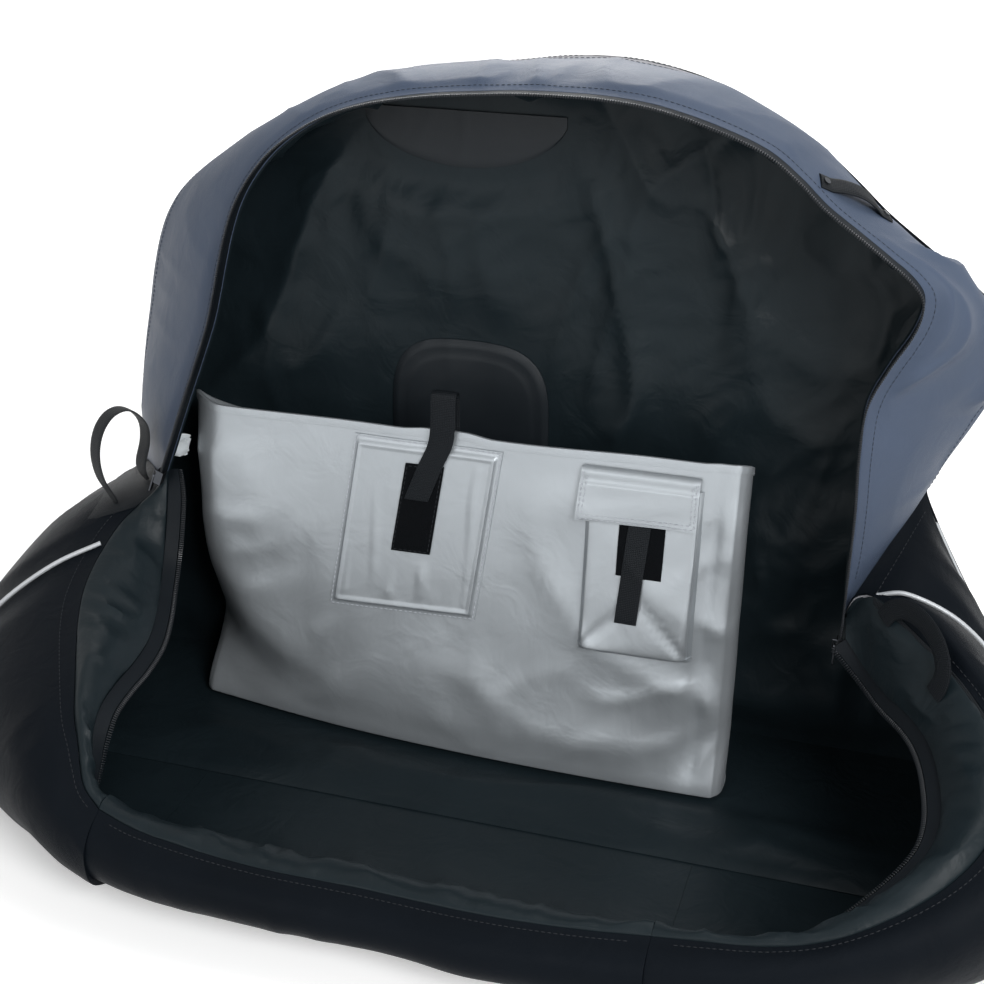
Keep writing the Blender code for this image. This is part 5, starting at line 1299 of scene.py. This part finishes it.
# Rubbing pad behind the hub, and the bare patch near the top, both on the back lining
def onLining(name, node, flat, thickness, edge, finish):
    sag = backSag(flat)
    back = bagSizes["backFront"] - gap - sag
    inner = np.stack([flat[..., 0], back + sag * 0.2, flat[..., 1]], -1)
    outer = np.stack([flat[..., 0], back - 0.0006 - thickness * edge, flat[..., 1]], -1)
    piece = shaped(name, outer, inner, finish, flat)
    dress(piece, [node])

def hubPad():
    side = np.linspace(-1, 1, 42)
    i, j = np.meshgrid(side, side, indexing="ij")
    reach = np.maximum(np.abs(i), np.abs(j))
    length = np.maximum(np.hypot(i, j), 1e-9)
    power = padLook["power"]
    rounding = (np.abs(i / length) ** power + np.abs(j / length) ** power) ** (-1 / power)
    x = padLook["x"] + i / length * reach * rounding * padLook["halfX"]
    z = padLook["z"] + j / length * reach * rounding * padLook["halfZ"]
    edge = 1 - smooth(reach, 0.93, 1.0) * 0.8
    edge = edge - 0.35 * np.exp(-((reach - 0.86) / 0.02) ** 2)
    onLining("hubPad", "hub_pad", np.stack([x, z], -1), padLook["thick"], edge, patchRubber)

def topLabel():
    across = np.linspace(-1, 1, 49)[:, None]
    down = np.linspace(0, 1, 17)[None, :]
    x = labelLook["x"] + across * labelLook["halfX"] * np.ones_like(down) * 0.999
    z = labelLook["z"] - down * labelLook["drop"] * np.sqrt(1 - (across * 0.98) ** 2)
    edge = 1 - 0.7 * np.maximum(smooth(np.abs(across), 0.93, 1), smooth(down, 0.9, 1))
    onLining("topLabel", "top_label", np.stack([x, z], -1), labelLook["thick"], edge, patchRubber)

hubPad()
topLabel()

# Care label: a folded white strip near the left slider
careLook = {"width": 0.027, "length": 0.024, "lower": 0.007, "thick": 0.0005, "fold": 0.0030,
            "column": 1.0, "row": 5.0, "clearance": 0.0014, "twist": 0.25, "crumple": 0.0026,
            "turns": [(0.0, -1.0), (0.55, -1.5), (1.0, -0.9), (0.95, -0.2), (0.45, 0.1), (0.55, 0.7),
                      (1.05, 0.9), (0.85, 1.6), (0.35, 1.5), (0.0, 0.9)]}

def careLabel():
    normal = -unit(surfaceAt(archNormals, careLook["column"], careLook["row"]))
    depth = foamNear + layers["lining"] + careLook["clearance"]
    root = surfaceAt(archPart, careLook["column"], careLook["row"]) + normal * depth
    along = unit(surfaceAt(arch, careLook["column"] + 1, careLook["row"])
                 - surfaceAt(arch, careLook["column"], careLook["row"]))
    across = unit(np.cross(along, normal))
    root = root - along * careLook["lower"]
    line = splineThrough([root + normal * careLook["length"] * out + across * careLook["fold"] * side
                          for out, side in careLook["turns"]], 8)
    wide = unit(along + across * careLook["twist"] * np.linspace(-1, 1, len(line))[:, None])
    run = np.gradient(line, axis=0)
    sides = np.linspace(-1, 1, 11)
    middle = line[:, None] + wide[:, None] * (sides * careLook["width"] / 2)[None, :, None]
    thick = unit(np.cross(run, wide))[:, None]
    flat = walked(middle)
    middle = middle + thick * (folds(flat, 0.009, 1.4, 25, 101)[..., None] - 0.4) * careLook["crumple"]
    half = thick * careLook["thick"] / 2
    piece = shaped("careLabel", middle + half, middle - half, labelCloth, flat)
    dress(piece, ["care_label"])

careLabel()

# Grab strap on the far gusset's right shoulder
grabLook = {"start": (23.2, 5.0), "end": (24.4, 2.2), "half": (0.21, 0.39), "rise": 0.008, "thick": 0.0024,
            "lifts": [(0.0, 0.0), (0.14, 0.0), (0.30, 0.65), (0.50, 1.0), (0.70, 0.65), (0.86, 0.0),
                      (1.0, 0.0)]}

def grabStrap():
    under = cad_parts["far_gusset"].data
    tree = BVHTree.FromPolygons([vertex.co for vertex in under.vertices],
                                [face.vertices for face in under.polygons])
    start, end, half = (np.array(grabLook[key]) for key in ("start", "end", "half"))
    rows, rowNormals = [], []
    for share, lift in splineThrough(grabLook["lifts"], 6):
        row, normalRow = [], []
        for side in np.linspace(-1, 1, 9):
            u, v = start + (end - start) * share + half * side
            point = Vector(surfaceAt(archPart, u, v))
            normal = Vector(unit(surfaceAt(archNormals, u, v)))
            hit = tree.ray_cast(point + normal * 0.03, -normal)[0]
            row.append(np.array(hit + normal * (sit + grabLook["rise"] * max(lift, 0))))
            normalRow.append(np.array(normal))
        rows.append(row)
        rowNormals.append(normalRow)
    rows, rowNormals = np.array(rows), np.array(rowNormals)
    edge = (1 - np.abs(np.linspace(-1, 1, 9)) ** 6 * 0.6)[None, :, None]
    piece = shaped("grabStrap", rows + rowNormals * grabLook["thick"] * edge, rows, webbingCloth)
    dress(piece, ["grab_strap"])

grabStrap()
print("stage: labels and straps")

# Floor, lights and world
lightLook = {
    "key": {"place": (2.2, -2.5, 2.3), "aim": (0.0, 0.0, 0.25), "size": 1.5, "power": 120},
    "fill": {"place": (-0.9, -3.1, 1.5), "aim": (0.1, 0.0, 0.2), "size": 2.0, "power": 23},
    "top": {"place": (0.9, 0.7, 3.3), "aim": (0.0, 0.0, 0.2), "size": 2.0, "power": 46},
    "back": {"place": (-0.8, 3.2, 2.4), "aim": (0.0, 0.2, 0.3), "size": 2.0, "power": 60},
    "world": 0.30, "floorGlow": (0.30, 0.85), "glowReach": (1.3, 4.0),
}

def rayShare(tree):
    # 1 for what the camera sees, straight on or in a gloss
    path = addNode(tree, "ShaderNodeLightPath")
    share = path.outputs["Is Camera Ray"]
    for name in ("Is Glossy Ray", "Is Transmission Ray"):
        either = addNode(tree, "ShaderNodeMath", {"operation": "MAXIMUM"})
        tree.links.new(share, either.inputs[0])
        tree.links.new(path.outputs[name], either.inputs[1])
        share = either.outputs["Value"]
    return share

def addStage():
    bpy.ops.object.select_all(action="DESELECT")
    bpy.ops.mesh.primitive_plane_add(size=60)
    floor = bpy.context.object
    floor.name = "paleFloor"
    material, tree, shader = nodeTree("floorPaint", (0.93, 0.93, 0.93), 0.9, shine=0.1)
    place = addNode(tree, "ShaderNodeTexCoord")
    away = addNode(tree, "ShaderNodeVectorMath", {"operation": "LENGTH"})
    tree.links.new(place.outputs["Object"], away.inputs[0])
    near, far = lightLook["glowReach"]
    low, high = lightLook["floorGlow"]
    strength = ranged(tree, away.outputs["Value"], {"interpolation_type": "SMOOTHSTEP"}, From_Min=near,
                      From_Max=far, To_Min=low, To_Max=high)
    glow = addNode(tree, "ShaderNodeMath", {"operation": "MULTIPLY"})
    tree.links.new(strength, glow.inputs[1])
    tree.links.new(rayShare(tree), glow.inputs[0])
    shader.inputs["Emission Color"].default_value = (1, 1, 1, 1)
    tree.links.new(glow.outputs["Value"], shader.inputs["Emission Strength"])
    floor.data.materials.append(material)
    for name in ("key", "fill", "top", "back"):
        look = lightLook[name]
        bpy.ops.object.light_add(type="AREA", location=look["place"])
        lamp = bpy.context.object
        lamp.name = name + "Light"
        lamp.data.shape = "SQUARE"
        lamp.data.size = look["size"]
        lamp.data.energy = look["power"]
        lamp.rotation_mode = "QUATERNION"
        lamp.rotation_quaternion = (Vector(look["aim"]) - Vector(look["place"])).to_track_quat("-Z", "Y")
    world = bpy.data.worlds.new("studio")
    bpy.context.scene.world = world
    world.use_nodes = True
    nodes, link = world.node_tree.nodes, world.node_tree.links.new
    nodes.clear()
    mix = nodes.new("ShaderNodeMixShader")
    output = nodes.new("ShaderNodeOutputWorld")
    link(rayShare(world.node_tree), mix.inputs[0])
    for slot, power in ((1, lightLook["world"]), (2, 1.0)):
        sky = nodes.new("ShaderNodeBackground")
        sky.inputs["Color"].default_value = (1, 1, 1, 1)
        sky.inputs["Strength"].default_value = power
        link(sky.outputs[0], mix.inputs[slot])
    link(mix.outputs[0], output.inputs["Surface"])
    bpy.context.scene.view_settings.view_transform = "Standard"

addStage()
print("stage: floor and light")
